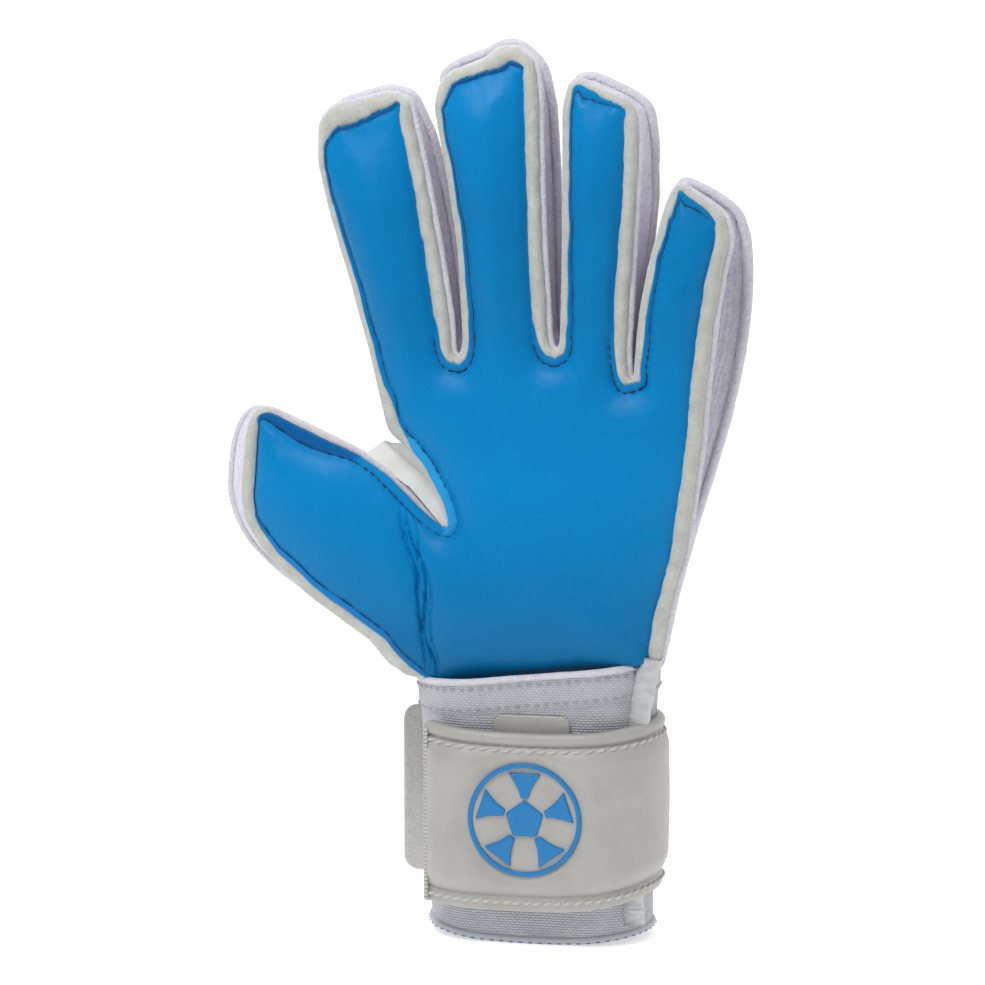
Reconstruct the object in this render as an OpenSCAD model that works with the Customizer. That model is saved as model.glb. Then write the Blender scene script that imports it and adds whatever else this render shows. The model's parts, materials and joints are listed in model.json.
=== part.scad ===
// Goalkeeper's glove for the left hand, palm towards -Y, fingers up along +Z.
// The origin is the centre of the wrist opening, in the plane of the cuff's lower edge.

/* [Layers] */
// Thickness of the latex on the palm
latex_t = 4; // [3:0.5:4.5]
// Thickness of the white foam under the latex
foam_t = 4; // [3:0.5:4.5]
// Inside depth of a finger stall, palm to back
stall_d = 16; // [14:1:18]
// Thickness of the padded back panels
back_t = 5; // [3:0.5:6]
// Thickness of the gusset cloth
gusset_t = 2; // [1.5:0.5:2.5]
// How far the gussets sit in from the foam's edge
gusset_in = 3; // [2:0.5:4]
// How far the latex stops short of the foam's edge
foam_lip = 5; // [4:0.5:5]

/* [Bending] */
// Depth of the bending lines behind the latex face
hinge_depth = 10; // [8:0.5:10]
// Palm left free below each finger's bending line, for the fold
fold_gap = 11; // [11:0.5:12]
// Back panel left free below a knuckle, so that it can bend backwards
knuckle_gap = 4; // [4:0.5:5]
// Distance from the thumb's crease to the palm pieces on each side
crease_gap = 5.5; // [5.5:0.5:7]
// Distance from the thumb's middle bending line to the pieces on each side
thumb_gap = 6.5; // [6.5:0.5:8]

/* [Wrist] */
// Half the width of the elastic cuff
cuff_half_w = 37; // [36:0.5:38]
// Half its depth, palm to back
cuff_half_d = 21; // [20:0.5:21.5]
// Thickness of the knitted elastic
elastic_t = 2; // [1.5:0.5:2.5]
// Height of the cuff
cuff_h = 70; // [66:1:70]
// Height of the bending line at the wrist
wrist_z = 75; // [75:0.5:76]
// Height of the overlocked lower hem
hem_h = 2.5; // [2:0.5:4]
// Radius of the satin tube that binds the slit in the elastic
binding_r = 3.2; // [2.5:0.1:3.2]

/* [Strap] */
// Lower edge of the strap above the cuff's lower edge
strap_z = 10; // [8:1:14]
// Height of the strap
strap_h = 58; // [50:1:58]
// Half the width of the closed strap
strap_half_w = 43.5; // [42:0.5:44]
// Padded thickness on the palm side, over the elastic
strap_pad_t = 8; // [6:0.5:8]
// Thickness of the unpadded strap and flap
flap_t = 2.7; // [2:0.1:3]
// Height of the smooth binding along the strap's top
strap_bind_h = 3.5; // [3:0.5:5]
// Radius of the raised ring emblem
emblem_r = 18.7; // [15:0.1:20]

/* [Hidden] */
$fn = 64;
stall_y = -4;
foam_y = stall_y - stall_d / 2;
latex_y = foam_y - foam_t;
face_y = latex_y - latex_t;
back_y = stall_y + stall_d / 2;
hinge_y = face_y + hinge_depth;

palm_z = 84;
level_z = 190;
back_rise = 12;
// How much a stall's depth closes from its middle joint to its end
end_drop = 7;
reach = 150;

// A finger's edges are [z, x] pairs and its ends [x, z] points: the foam's, then the back panel's.
// [name, knuckle z, middle joint z, left edge, foam's right edge, foam's end,
//  back panel's right edge, back panel's end]
FINGERS = [
    ["index", 200, 233,
        [[160, -48.5], [182, -53], [212, -61], [231, -67], [250, -71.5]],
        [[187, -24.5], [206, -27.5], [222, -30], [241, -33.5], [258, -37]],
        [[-71, 262.5], [-67, 268], [-57, 270.5], [-47, 273], [-40, 270.5]],
        [[187, -24.5], [206, -27], [222, -29], [241, -32.5], [258, -36]],
        [[-71, 264], [-67, 269], [-57, 272], [-50, 274], [-42, 272]]],
    ["middle", 203, 240,
        [[190, -23.5], [222, -25.2], [245, -28.7], [268, -33]],
        [[190, 5.8], [207, 4.9], [223, 3.9], [239, 3.2], [273, 2.5]],
        [[-31, 276], [-27, 279.5], [-18, 282], [-12, 287], [-5, 287.5], [1, 283]],
        [[190, 6], [207, 5.5], [223, 5], [239, 4.5], [268, 3.5]],
        [[-34, 278], [-28, 282], [-17, 286], [-12, 289], [-6, 288], [1, 281]]],
    ["ring", 203, 238,
        [[190, 8.2], [223, 8.8], [268, 8.8]],
        [[182, 31.2], [207, 32], [223, 33], [239, 34], [255, 34.8]],
        [[11, 276.5], [15, 277.5], [21.5, 274], [31, 271], [34.4, 267]],
        [[182, 31.5], [207, 32.2], [223, 35.5], [239, 37], [255, 37]],
        [[11, 278], [17, 278.5], [22, 276], [30, 272.5], [35.5, 268]]],
    ["little", 194, 217,
        [[182, 32], [191, 32.6], [203, 34], [211, 35], [223, 38], [239, 42.5]],
        [[162, 55.5], [183, 57.3], [198, 59], [212, 60.7], [227, 64.2]],
        [[46, 245.5], [51, 242.5], [57, 238.5], [62.5, 234.5]],
        [[173, 61.5], [187, 64.5], [201, 66.5], [215, 67], [226, 66.5]],
        [[44, 245.5], [47, 246], [54, 242.5], [64, 235]]],
];

// The little finger's side of the hand, from the wrist up to the knuckle.
little_side = [[42, 88], [46.5, 111], [51, 128], [53, 144], [55.5, 162], [56.5, 176], [57.3, 183]];
back_little_side = [[37, 84], [42, 107], [49, 132], [53, 144], [60, 167], [64.5, 187]];
index_side = [[-54.6, 189], [-53, 182], [-48.5, 163]];
// The notch between the thumb and the index finger.
thumb_notch = [[-37, 153], [-30, 140], [-28, 132]];

// The thumb's crease and middle bending line: a point on each, and its lean from the vertical.
crease_point = [-33, 84];
crease_lean = -8;
thumb_joint_point = [-77, 137];
thumb_joint_lean = 14;
thumb_foam = [
    [-30, 85], [-44, 86.5], [-55, 94], [-74, 107], [-84, 115], [-91, 123], [-97, 133],
    [-98, 142], [-96, 163], [-93.5, 169], [-87.5, 170], [-77, 165], [-67, 160.5],
    [-57.5, 156], [-47, 149], [-38, 144]];
thumb_latex = [
    [-30, 86], [-41, 89.5], [-60, 101.5], [-77.5, 114.5], [-85.5, 123.5], [-92, 137],
    [-93, 144], [-92, 156], [-89, 165], [-83, 168], [-72, 162], [-57.5, 153.5],
    [-46, 146.5], [-36, 138.5]];
thumb_back = [
    [-30, 84], [-54, 84], [-65, 92.5], [-80, 102.5], [-92, 111], [-98, 116.5], [-103, 122],
    [-107, 130], [-109, 139], [-107, 155], [-104, 163], [-99.5, 168], [-91, 166],
    [-78, 160], [-65, 154], [-52, 147], [-38, 139]];
thumb_under = [[-43, 84], [-55, 94], [-74, 107], [-84, 115], [-91, 123]];
thumb_end = [[-91, 123], [-97, 133], [-98, 142], [-96, 163], [-93.5, 169]];
thumb_over = [[-87.5, 170], [-77, 165], [-67, 160.5], [-57.5, 156], [-47, 149]];

emblem_z = strap_z + strap_h / 2 + 1;
emblem_t = 0.8;
pad_half_d = (2 * cuff_half_d + strap_pad_t + 3) / 2;
pad_y = -(strap_pad_t - 3) / 2;
patch_t = 1.2;
flap_root_x = 14.7;
flap_end_x = -38;
tab_end_x = -52.5;
flap_y = cuff_half_d + patch_t + 1.1;

latex_blue = [0.0, 0.49, 0.74];
foam_white = [0.93, 0.93, 0.91];
gusset_lilac = [0.74, 0.71, 0.8];
back_white = [0.86, 0.85, 0.9];
elastic_grey = [0.8, 0.81, 0.86];
strap_white = [0.88, 0.88, 0.85];

FINGER_PARTS = ["latex", "foam", "gusset", "back"];
STALLS = ["index", "middle", "ring", "little", "thumb"];
SEGMENTS = ["lower", "tip"];

// ---- Outlines ----

function reversed(list) = [for (i = [len(list) - 1:-1:0]) list[i]];
function aside(points, dx) = [for (p = points) [p[0] + dx, p[1]]];

// The stretch of a [z, x] edge from z0 to z1, as [x, z] points.
function stretch(edge, z0, z1) = concat(
    [[lookup(z0, edge), z0]],
    [for (p = edge) if (p[0] > z0 && p[0] < z1) [p[1], p[0]]],
    [[lookup(z1, edge), z1]]);

// Where a line beside the thumb's crease stands at a height; positive gaps lie on the palm's side.
function beside_crease(z, gap) =
    [crease_point[0] + gap / cos(crease_lean) + (z - crease_point[1]) * tan(crease_lean), z];

function top_of(edge) = edge[len(edge) - 1][0];
function end_of(f) = max([for (p = f[7]) p[1]]) + 1;

// A finger between two heights, its sides set in by inset.
function lower_outline(f, z0, z1, inset) = concat(
    aside(stretch(f[3], z0, z1), inset),
    reversed(aside(stretch(f[4], z0, z1), -inset)));

// The back panel between two heights, on its own right edge.
function lower_back_outline(f, z0, z1) =
    concat(stretch(f[3], z0, z1), reversed(stretch(f[6], z0, z1)));

function tip_back_outline(f, z0) = concat(
    stretch(f[3], z0, top_of(f[3])), f[7], reversed(stretch(f[6], z0, top_of(f[6]))));

function tip_points(tip, inset) =
    let (middle = (tip[0][0] + tip[len(tip) - 1][0]) / 2,
         half_w = middle - tip[0][0])
    [for (p = tip) [p[0] + inset * (middle - p[0]) / half_w, p[1] - inset]];

// A finger from z0 to its tip, set in by inset all round.
function tip_outline(f, z0, inset) = concat(
    aside(stretch(f[3], z0, top_of(f[3])), inset),
    tip_points(f[5], inset),
    reversed(aside(stretch(f[4], z0, top_of(f[4])), -inset)));

// The direction square to a path at one of its points, to the right of its travel.
function square_to(path, i) =
    let (d = path[min(i + 1, len(path) - 1)] - path[max(i - 1, 0)])
    [d[1], -d[0]] / norm(d);

function beside(path, distance) = [for (i = [0:len(path) - 1]) path[i] + distance * square_to(path, i)];

// A strip of gusset that follows a path of the foam's edge, on the right of its travel.
function strip(path) = concat(
    beside(path, gusset_in),
    reversed(beside(path, gusset_in + gusset_t)));

// ---- Shapes ----

// An outline in the X-Z plane, given depth from y0 to y1.
module slab(points, y0, y1) {
    translate([0, y1, 0])
        rotate([90, 0, 0])
            linear_extrude(y1 - y0)
                polygon(points);
}

// A profile in the Y-Z plane, run across the whole glove.
module across(points) {
    translate([-reach, 0, 0])
        rotate([90, 0, 90])
            linear_extrude(2 * reach)
                polygon(points);
}

function back_at(z) = back_y + back_rise * max(0, level_z - z) / (level_z - palm_z);

// The room inside the hand: it deepens from the knuckles down to the wrist.
module hand_room() {
    across([
        [foam_y, palm_z - 5], [foam_y, level_z + 20], [back_y, level_z + 20], [back_y, level_z],
        [back_at(palm_z - 5), palm_z - 5]]);
}

module back_layer() {
    across([
        [back_at(palm_z), palm_z], [back_y, level_z], [back_y, level_z + 20],
        [back_y + back_t, level_z + 20], [back_y + back_t, level_z],
        [back_at(palm_z) + back_t, palm_z]]);
}

// The back panel over a fingertip, which comes forward towards the end, and the room before it.
module end_layer(z0, z1) {
    across([[back_y, z0], [back_y - end_drop, z1], [back_y - end_drop + back_t, z1], [back_y + back_t, z0]]);
}

module end_room(z0, z1) {
    across([[foam_y, z0], [foam_y, z1], [back_y - end_drop, z1], [back_y, z0]]);
}

// Everything on the thumb's side of a leaning line, from one distance to another.
module thumb_side(point, lean, from, to) {
    translate([point[0], 0, point[1]])
        rotate([0, lean, 0])
            translate([-to, -60, -150])
                cube([to - from, 120, 300]);
}

module stadium(half_w, half_d, z0, z1) {
    translate([0, 0, z0]) {
        for (side = [-1, 1])
            translate([side * (half_w - half_d), 0, 0])
                cylinder(h = z1 - z0, r = half_d);
        translate([half_d - half_w, -half_d, 0])
            cube([2 * (half_w - half_d), 2 * half_d, z1 - z0]);
    }
}

module elastic_tube(half_w, z0, z1, swell = 0) {
    difference() {
        stadium(half_w + swell, cuff_half_d + swell, z0, z1);
        stadium(half_w - elastic_t, cuff_half_d - elastic_t, z0 - 1, z1 + 1);
    }
}

// A flat piece on the back of the wrist with two rounded corners at its far end.
module back_strip(x0, x1, y0, y1, z0, z1, corner) {
    translate([0, y0, 0]) {
        translate([x0 + corner, 0, z0])
            cube([x1 - x0 - corner, y1 - y0, z1 - z0]);
        translate([x0, 0, z0 + corner])
            cube([corner, y1 - y0, z1 - z0 - 2 * corner]);
        for (z = [z0 + corner, z1 - corner])
            translate([x0 + corner, 0, z])
                rotate([-90, 0, 0])
                    cylinder(h = y1 - y0, r = corner);
    }
}

// ---- Cuff ----

module cuff_elastic() {
    color(elastic_grey) elastic_tube(cuff_half_w, hem_h, cuff_h);
}

module cuff_hem() {
    color(elastic_grey) elastic_tube(cuff_half_w, 0, hem_h, 0.4);
}

module binding_tube(z0, z1, out) {
    turn = 40;
    translate([
        cuff_half_w - cuff_half_d + (cuff_half_d + out) * cos(turn),
        -(cuff_half_d + out) * sin(turn),
        z0])
        cylinder(h = z1 - z0, r = binding_r);
}

module slit_binding() {
    color("white") {
        binding_tube(hem_h + 0.5, strap_z - 0.3, binding_r + 0.05);
        binding_tube(strap_z + strap_h + 0.3, cuff_h, binding_r + 0.05);
    }
}

module hook_patch() {
    color("white")
        slab([[-9, 50], [-9, 66], [-6, 69.5], [8, 69.5], [11, 66], [11, 50]],
             -cuff_half_d - patch_t, -cuff_half_d);
}

module loop_patch() {
    color("white")
        translate([-15, cuff_half_d, strap_z + 4])
            cube([26, patch_t, strap_h - 8]);
}

// The strap's section: thick and padded on the palm side, thin round the sides.
module strap_section(z0, z1) {
    difference() {
        translate([0, pad_y, 0]) stadium(strap_half_w, pad_half_d, z0, z1);
        stadium(cuff_half_w + 1.5, cuff_half_d + 1.5, z0 - 1, z1 + 1);
    }
}

module strap_panel(z0, z1) {
    intersection() {
        strap_section(z0, z1);
        translate([-38, -40, z0]) cube([90, 32, z1 - z0]);
    }
}

module strap_front() {
    color(strap_white) strap_panel(strap_z, strap_z + strap_h - strap_bind_h);
}

module strap_top_binding() {
    color(strap_white) strap_panel(strap_z + strap_h - strap_bind_h, strap_z + strap_h);
}

module strap_side() {
    color(strap_white)
        intersection() {
            strap_section(strap_z, strap_z + strap_h);
            translate([flap_root_x + 2.5, -8, strap_z]) cube([40, 60, strap_h]);
        }
}

// A ring round a pentagon with five spokes, standing proud of the strap.
module strap_emblem() {
    front_y = pad_y - pad_half_d;
    ring_w = 2;
    color(latex_blue)
        difference() {
            translate([0, front_y + 2, emblem_z])
                rotate([90, 0, 0])
                    linear_extrude(emblem_t + 2) {
                        difference() {
                            circle(r = emblem_r);
                            circle(r = emblem_r - ring_w);
                        }
                        for (turn = [0:72:288])
                            rotate(turn)
                                translate([-ring_w / 2, 5])
                                    square([ring_w, emblem_r - ring_w - 4]);
                        polygon([for (i = [0:4]) 7 * [sin(72 * i), cos(72 * i)]]);
                    }
            translate([0, pad_y, 0]) stadium(strap_half_w, pad_half_d, strap_z, strap_z + strap_h);
        }
}

module strap_flap() {
    color(strap_white)
        translate([flap_end_x, flap_y, strap_z])
            cube([flap_root_x - flap_end_x, flap_t, strap_h]);
}

module flap_hooks() {
    color("white")
        translate([-35, flap_y - 0.8, strap_z + 5])
            cube([44, 0.8, strap_h - 10]);
}

module pull_tab() {
    color("white")
        back_strip(tab_end_x, flap_end_x - 2.5, flap_y, flap_y + flap_t,
                   strap_z - 1, strap_z + strap_h - 2, 5);
}

// ---- Hand ----

module wrist_band() {
    color(elastic_grey) elastic_tube(cuff_half_w + 2.5, 2 * wrist_z - cuff_h, palm_z);
}

module wrist_binding() {
    color("white") binding_tube(2 * wrist_z - cuff_h, palm_z - 0.2, binding_r + 2.3);
}

module palm_foam() {
    color(foam_white)
        slab(concat(
                [beside_crease(palm_z, crease_gap), [-10, palm_z], [22, palm_z + 2]],
                little_side,
                [[32.2, 183], [31.6, 181], [31.2, 192], [8.2, 192], [7, 190], [5.8, 192],
                 [-23.5, 192], [-25, 187], [-26, 189]],
                index_side, thumb_notch, [beside_crease(137, crease_gap)]),
             latex_y, foam_y);
}

module palm_latex() {
    color(latex_blue)
        slab([
                beside_crease(palm_z, crease_gap), [-10, palm_z + 0.5], [22, palm_z + 3],
                [38, palm_z + 4.5], [41.5, 111], [46, 128], [48, 144], [51.3, 162],
                [52.5, 176], [53.3, 183], [36, 183], [32, 177], [27.5, 192], [12.5, 192], [7, 187],
                [0.8, 192], [-18.5, 192], [-25, 184], [-30.5, 189], [-49.6, 189], [-48, 182],
                [-43.5, 165], [-34, 155], [-26, 141], [-24, 131], [-28, 127],
                beside_crease(133, crease_gap)],
             face_y, latex_y);
}

module backhand() {
    back_gap = 3;
    knuckles = [for (f = FINGERS) f[1] - knuckle_gap];
    color(back_white)
        intersection() {
            slab(concat(
                    [beside_crease(palm_z, back_gap)],
                    back_little_side,
                    [[65, knuckles[3]], [32.8, knuckles[3]], [32, 180],
                     [31.4, knuckles[2]], [8.3, knuckles[2]], [7, 189],
                     [5.4, knuckles[1]], [-23.6, knuckles[1]], [-25, 187],
                     [-26, knuckles[0]], [-56.2, knuckles[0]]],
                    index_side, [beside_crease(150, back_gap)]),
                 -50, 50);
            back_layer();
        }
}

module hand_gussets() {
    color(gusset_lilac)
        intersection() {
            union() {
                slab(strip(reversed(little_side)), -50, 50);
                slab(strip(reversed(index_side)), -50, 50);
                for (web = [[-28, -21.5, 183], [3, 10.5, 185], [28, 35.5, 175]])
                    slab([[web[0], web[2]], [web[1], web[2]],
                          [web[1], web[2] + gusset_t], [web[0], web[2] + gusset_t]], -50, 50);
            }
            hand_room();
        }
}

module thumb_web() {
    color("white")
        slab([[-40, 145], [-30, 135], [-31, 141], [-37.5, 151], [-44, 157]],
             foam_y, foam_y + gusset_t);
}

// ---- Fingers ----

module finger_piece(f, segment, piece) {
    lower = segment == "lower";
    z0 = lower ? f[1] : f[2];
    z1 = f[2] - (piece == "back" ? 0.5 : fold_gap);
    if (piece == "latex")
        color(latex_blue)
            slab(lower ? lower_outline(f, z0, z1, foam_lip) : tip_outline(f, z0, foam_lip),
                 face_y, latex_y);
    if (piece == "foam")
        color(foam_white)
            slab(lower ? lower_outline(f, z0, z1, 0) : tip_outline(f, z0, 0), latex_y, foam_y);
    if (piece == "back")
        color(back_white)
            finger_back(f, lower, z0, z1);
    if (piece == "gusset")
        color(gusset_lilac)
            finger_gusset(f, lower, z0, z1);
}

module finger_back(f, lower, z0, z1) {
    if (lower)
        slab(lower_back_outline(f, z0, z1), back_y, back_y + back_t);
    else
        intersection() {
            slab(tip_back_outline(f, z0), -50, 50);
            end_layer(z0, end_of(f));
        }
}

// Two side strips on a lower segment; one strip round the end of a tip.
module finger_gusset(f, lower, z0, z1) {
    inner = gusset_in + gusset_t;
    if (lower)
        for (side = [[f[3], 1], [f[4], -1]])
            slab(concat(aside(stretch(side[0], z0, z1), side[1] * gusset_in),
                        reversed(aside(stretch(side[0], z0, z1), side[1] * inner))),
                 foam_y, back_y);
    else
        intersection() {
            slab(concat(tip_outline(f, z0, gusset_in), reversed(tip_outline(f, z0, inner))), -50, 50);
            end_room(z0, end_of(f));
        }
}

// ---- Thumb ----

module thumb_cut(segment, near_crease, near_joint) {
    if (segment == "lower")
        intersection() {
            children();
            thumb_side(crease_point, crease_lean, near_crease, reach);
            thumb_side(thumb_joint_point, thumb_joint_lean, -reach, -near_joint);
        }
    else
        intersection() {
            children();
            thumb_side(thumb_joint_point, thumb_joint_lean, near_joint, reach);
        }
}

module thumb_piece(segment, piece) {
    if (piece == "latex")
        color(latex_blue)
            thumb_cut(segment, crease_gap, thumb_gap) slab(thumb_latex, face_y, latex_y);
    if (piece == "foam")
        color(foam_white)
            thumb_cut(segment, crease_gap, thumb_gap) slab(thumb_foam, latex_y, foam_y);
    if (piece == "back")
        color(back_white)
            thumb_cut(segment, 3, 0.4)
                intersection() {
                    slab(thumb_back, -50, 50);
                    back_layer();
                }
    if (piece == "gusset")
        color(gusset_lilac)
            thumb_cut(segment, crease_gap, thumb_gap)
                intersection() {
                    union() {
                        for (path = [thumb_under, thumb_end, thumb_over])
                            slab(strip(path), -50, 50);
                    }
                    hand_room();
                }
}

// ---- The glove ----

cuff_elastic();
cuff_hem();
slit_binding();
hook_patch();
loop_patch();
strap_front();
strap_top_binding();
strap_side();
strap_emblem();
strap_flap();
flap_hooks();
pull_tab();
wrist_band();
wrist_binding();
palm_latex();
palm_foam();
backhand();
hand_gussets();
thumb_web();
for (f = FINGERS, segment = SEGMENTS, piece = FINGER_PARTS)
    finger_piece(f, segment, piece);
for (segment = SEGMENTS, piece = FINGER_PARTS)
    thumb_piece(segment, piece);
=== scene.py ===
"""The looks of a goalkeeper's glove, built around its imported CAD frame.

Shapes are worked out in millimetres, in the frame's own axes: +Z up along the fingers, -Y out of
the palm and +X towards the little finger. They turn into metres when a mesh is made.
"""

import json
import math

import bpy
import numpy as np
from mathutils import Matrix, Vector, geometry, noise


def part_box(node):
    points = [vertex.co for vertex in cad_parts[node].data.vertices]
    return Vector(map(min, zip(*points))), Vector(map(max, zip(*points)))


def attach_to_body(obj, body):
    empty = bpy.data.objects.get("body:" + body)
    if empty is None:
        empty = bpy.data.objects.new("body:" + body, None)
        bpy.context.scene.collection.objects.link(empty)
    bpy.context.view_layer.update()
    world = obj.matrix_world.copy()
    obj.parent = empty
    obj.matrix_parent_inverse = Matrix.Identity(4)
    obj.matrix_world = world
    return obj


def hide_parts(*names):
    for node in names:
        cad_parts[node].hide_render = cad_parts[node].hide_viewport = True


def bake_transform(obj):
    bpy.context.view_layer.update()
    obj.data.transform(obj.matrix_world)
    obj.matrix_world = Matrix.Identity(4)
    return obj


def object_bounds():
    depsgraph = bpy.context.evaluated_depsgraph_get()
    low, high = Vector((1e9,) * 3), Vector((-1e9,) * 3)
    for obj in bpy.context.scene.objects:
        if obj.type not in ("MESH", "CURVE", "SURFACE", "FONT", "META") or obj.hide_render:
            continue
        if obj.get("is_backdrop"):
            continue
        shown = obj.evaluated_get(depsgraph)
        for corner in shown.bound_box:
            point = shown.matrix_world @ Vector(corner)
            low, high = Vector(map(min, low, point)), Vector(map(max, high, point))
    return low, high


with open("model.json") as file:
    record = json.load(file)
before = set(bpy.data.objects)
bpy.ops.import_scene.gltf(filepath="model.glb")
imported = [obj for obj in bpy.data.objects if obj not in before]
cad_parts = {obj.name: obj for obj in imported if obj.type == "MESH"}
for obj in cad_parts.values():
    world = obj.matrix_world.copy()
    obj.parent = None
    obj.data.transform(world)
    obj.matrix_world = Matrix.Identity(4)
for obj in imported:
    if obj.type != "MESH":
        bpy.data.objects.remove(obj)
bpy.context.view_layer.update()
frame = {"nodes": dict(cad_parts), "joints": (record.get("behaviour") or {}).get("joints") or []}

MM = 0.001
X, Y, Z = np.eye(3)
FINGERS = ["index", "middle", "ring", "little"]


def box_mm(node):
    """A CAD node's lowest and highest corners in millimetres."""
    return [np.array(corner) * 1000 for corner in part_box(node)]


def joint_mm(name):
    """A joint's point and axis, in millimetres."""
    found = next(j for j in frame["joints"] if j["name"] == name)
    return np.array(found["pos_m"]) * 1000, np.array(found["axis"])


FOAM_Y = box_mm("palm_foam")[0][1]
ROOM_Y = box_mm("palm_foam")[1][1]
STALL_Y = box_mm("index_lower_back")[0][1]
BACK_T = box_mm("index_lower_back")[1][1] - STALL_Y
PALM_Z = box_mm("palm_foam")[0][2]
HEEL_Y = box_mm("backhand")[1][1] - BACK_T
# Above this height the back panel is parallel to the palm.
LEVEL_Z = 190.0
# No part of the thumb reaches higher than this.
THUMB_TOP_Z = 178


# ---- Where the fabric bends ----

KNUCKLE_BEFORE = 10.0
KNUCKLE_AFTER = 13.0
JOINT_HALF = 11.0
CREASE_BEFORE = 3.0
CREASE_AFTER = 14.0
# The thumb's pieces of a layer start this far on the palm's side of the crease.
CREASE_PART = 12.0
THUMB_HALF = 12.0
# The line that parts the thumb from the index finger's side, as heights and their x.
NOTCH_Z = [132, 140, 148.5, 158, 172, 190]
NOTCH_X = [-28, -32.5, -37.5, -50, -70, -110]

crease_at, crease_axis = joint_mm("thumb_crease")
thumb_at, thumb_axis = joint_mm("thumb_joint")
crease_out = np.array([-crease_axis[2], 0, crease_axis[0]])
thumb_out = np.array([-thumb_axis[2], 0, thumb_axis[0]])
knuckle_z = {f: joint_mm(f + "_knuckle")[0][2] for f in FINGERS}
middle_z = {f: joint_mm(f + "_joint")[0][2] for f in FINGERS}


def zone(point, direction, before, after):
    """The start and the end of a blend, in metres."""
    return [tuple((point + direction * d) * MM) for d in (-before, after)]


# Each region's bodies, and where its fabric starts and stops bending between them.
REGIONS = {
    "palm": ["hand"],
    "thumb_base": ["hand", "thumb_lower", *zone(crease_at, crease_out, CREASE_BEFORE, CREASE_AFTER)],
    "thumb_end": ["thumb_lower", "thumb_tip", *zone(thumb_at, thumb_out, THUMB_HALF, THUMB_HALF)],
}
for f in FINGERS:
    knuckle = zone(joint_mm(f + "_knuckle")[0], Z, KNUCKLE_BEFORE, KNUCKLE_AFTER)
    middle = zone(joint_mm(f + "_joint")[0], Z, JOINT_HALF, JOINT_HALF)
    REGIONS[f + "_base"] = ["hand", f + "_lower", *knuckle]
    REGIONS[f + "_end"] = [f + "_lower", f + "_tip", *middle]


def node_of(region, part):
    """The CAD node that a region's piece of a layer stands for."""
    if region == "palm":
        return {"back": "backhand", "gusset": "hand_gussets"}.get(part, "palm_" + part)
    return region.replace("_base", "_lower_").replace("_end", "_tip_") + part


# ---- Small helpers ----


def unit(values):
    """Values held between 0 and 1."""
    return np.clip(values, 0, 1)


def bell(off, width):
    """A smooth bump of height 1 where off is 0."""
    return np.exp(-((off / width) ** 2))


def rounding(away, width):
    """How far a round edge of the given width falls back, as a share of its depth."""
    return 1 - np.sqrt(unit(1 - (1 - unit(away / width)) ** 2))


def circle(count):
    """Angles evenly round a full turn."""
    return np.linspace(0, 2 * math.pi, count, endpoint=False)


def at_depth(points, y=0.0):
    """(x, z) points as 3-D points at the depth y."""
    return np.c_[points[:, 0], np.broadcast_to(y, len(points)), points[:, 1]]


def in_box(points, x_low, x_high, z_low, z_high):
    """Which (x, z) points lie in a box."""
    x, z = points[:, 0], points[:, 1]
    return (x > x_low) & (x < x_high) & (z > z_low) & (z < z_high)


def lengths_along(path):
    """The way along a line from its start to each of its points."""
    return np.r_[0, np.cumsum(np.linalg.norm(np.diff(path, axis=0), axis=1))]


def total_length(path):
    return np.linalg.norm(np.diff(path, axis=0), axis=1).sum()


def points_at(path, steps, where):
    """A line's points at given ways along it. steps is the way to each of its own points."""
    return np.stack([np.interp(where, steps, column) for column in np.transpose(path)], 1)


def rough(points, size, amount, seed=0.0):
    """Smooth noise in millimetres at 3-D points, with lumps of the given size."""
    return amount * np.array([noise.noise(Vector((p + seed) / size)) for p in np.asarray(points)])


def rough_rows(base, heights, size, amount):
    """Noise over a wall round the wrist: at each of its heights over each base point."""
    rows = [rough(np.c_[base[:, :2], column], size, amount) for column in heights.T]
    return np.array(rows).T


# ---- Outlines ----


def plate_loop(node):
    """The outline of a flat CAD plate seen from the palm's side, as (x, z) points in order."""
    mesh = frame["nodes"][node].data
    keys = [tuple(np.round(np.array(v.co) * 1000, 2)) for v in mesh.vertices]
    edges = set()
    for face in mesh.polygons:
        if face.normal.y < -0.9:
            ring = [keys[i] for i in face.vertices]
            edges.update(zip(ring, ring[1:] + ring[:1]))
    follow = {a: b for a, b in edges if (b, a) not in edges}
    start = min(follow)
    loop = [start]
    while follow[loop[-1]] != start:
        loop.append(follow[loop[-1]])
    points = np.array([(p[0], p[2]) for p in loop])
    return corners_only(points if area(points) > 0 else points[::-1])


def area(points):
    """The signed area of a closed outline."""
    after = np.roll(points, -1, 0)
    return 0.5 * np.sum(points[:, 0] * after[:, 1] - after[:, 0] * points[:, 1])


def corners_only(points):
    """An outline without the points that lie on a straight edge."""
    before, after = points - np.roll(points, 1, 0), np.roll(points, -1, 0) - points
    turn = np.abs(before[:, 0] * after[:, 1] - before[:, 1] * after[:, 0])
    return points[turn > 0.02]


def along_line(step, axis):
    """Whether an outline's edge runs along a bending line and is long enough to be joined there."""
    length = np.linalg.norm(step)
    return length > 8 and abs(step[0] * axis[0] + step[1] * axis[2]) > 0.985 * length


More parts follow.
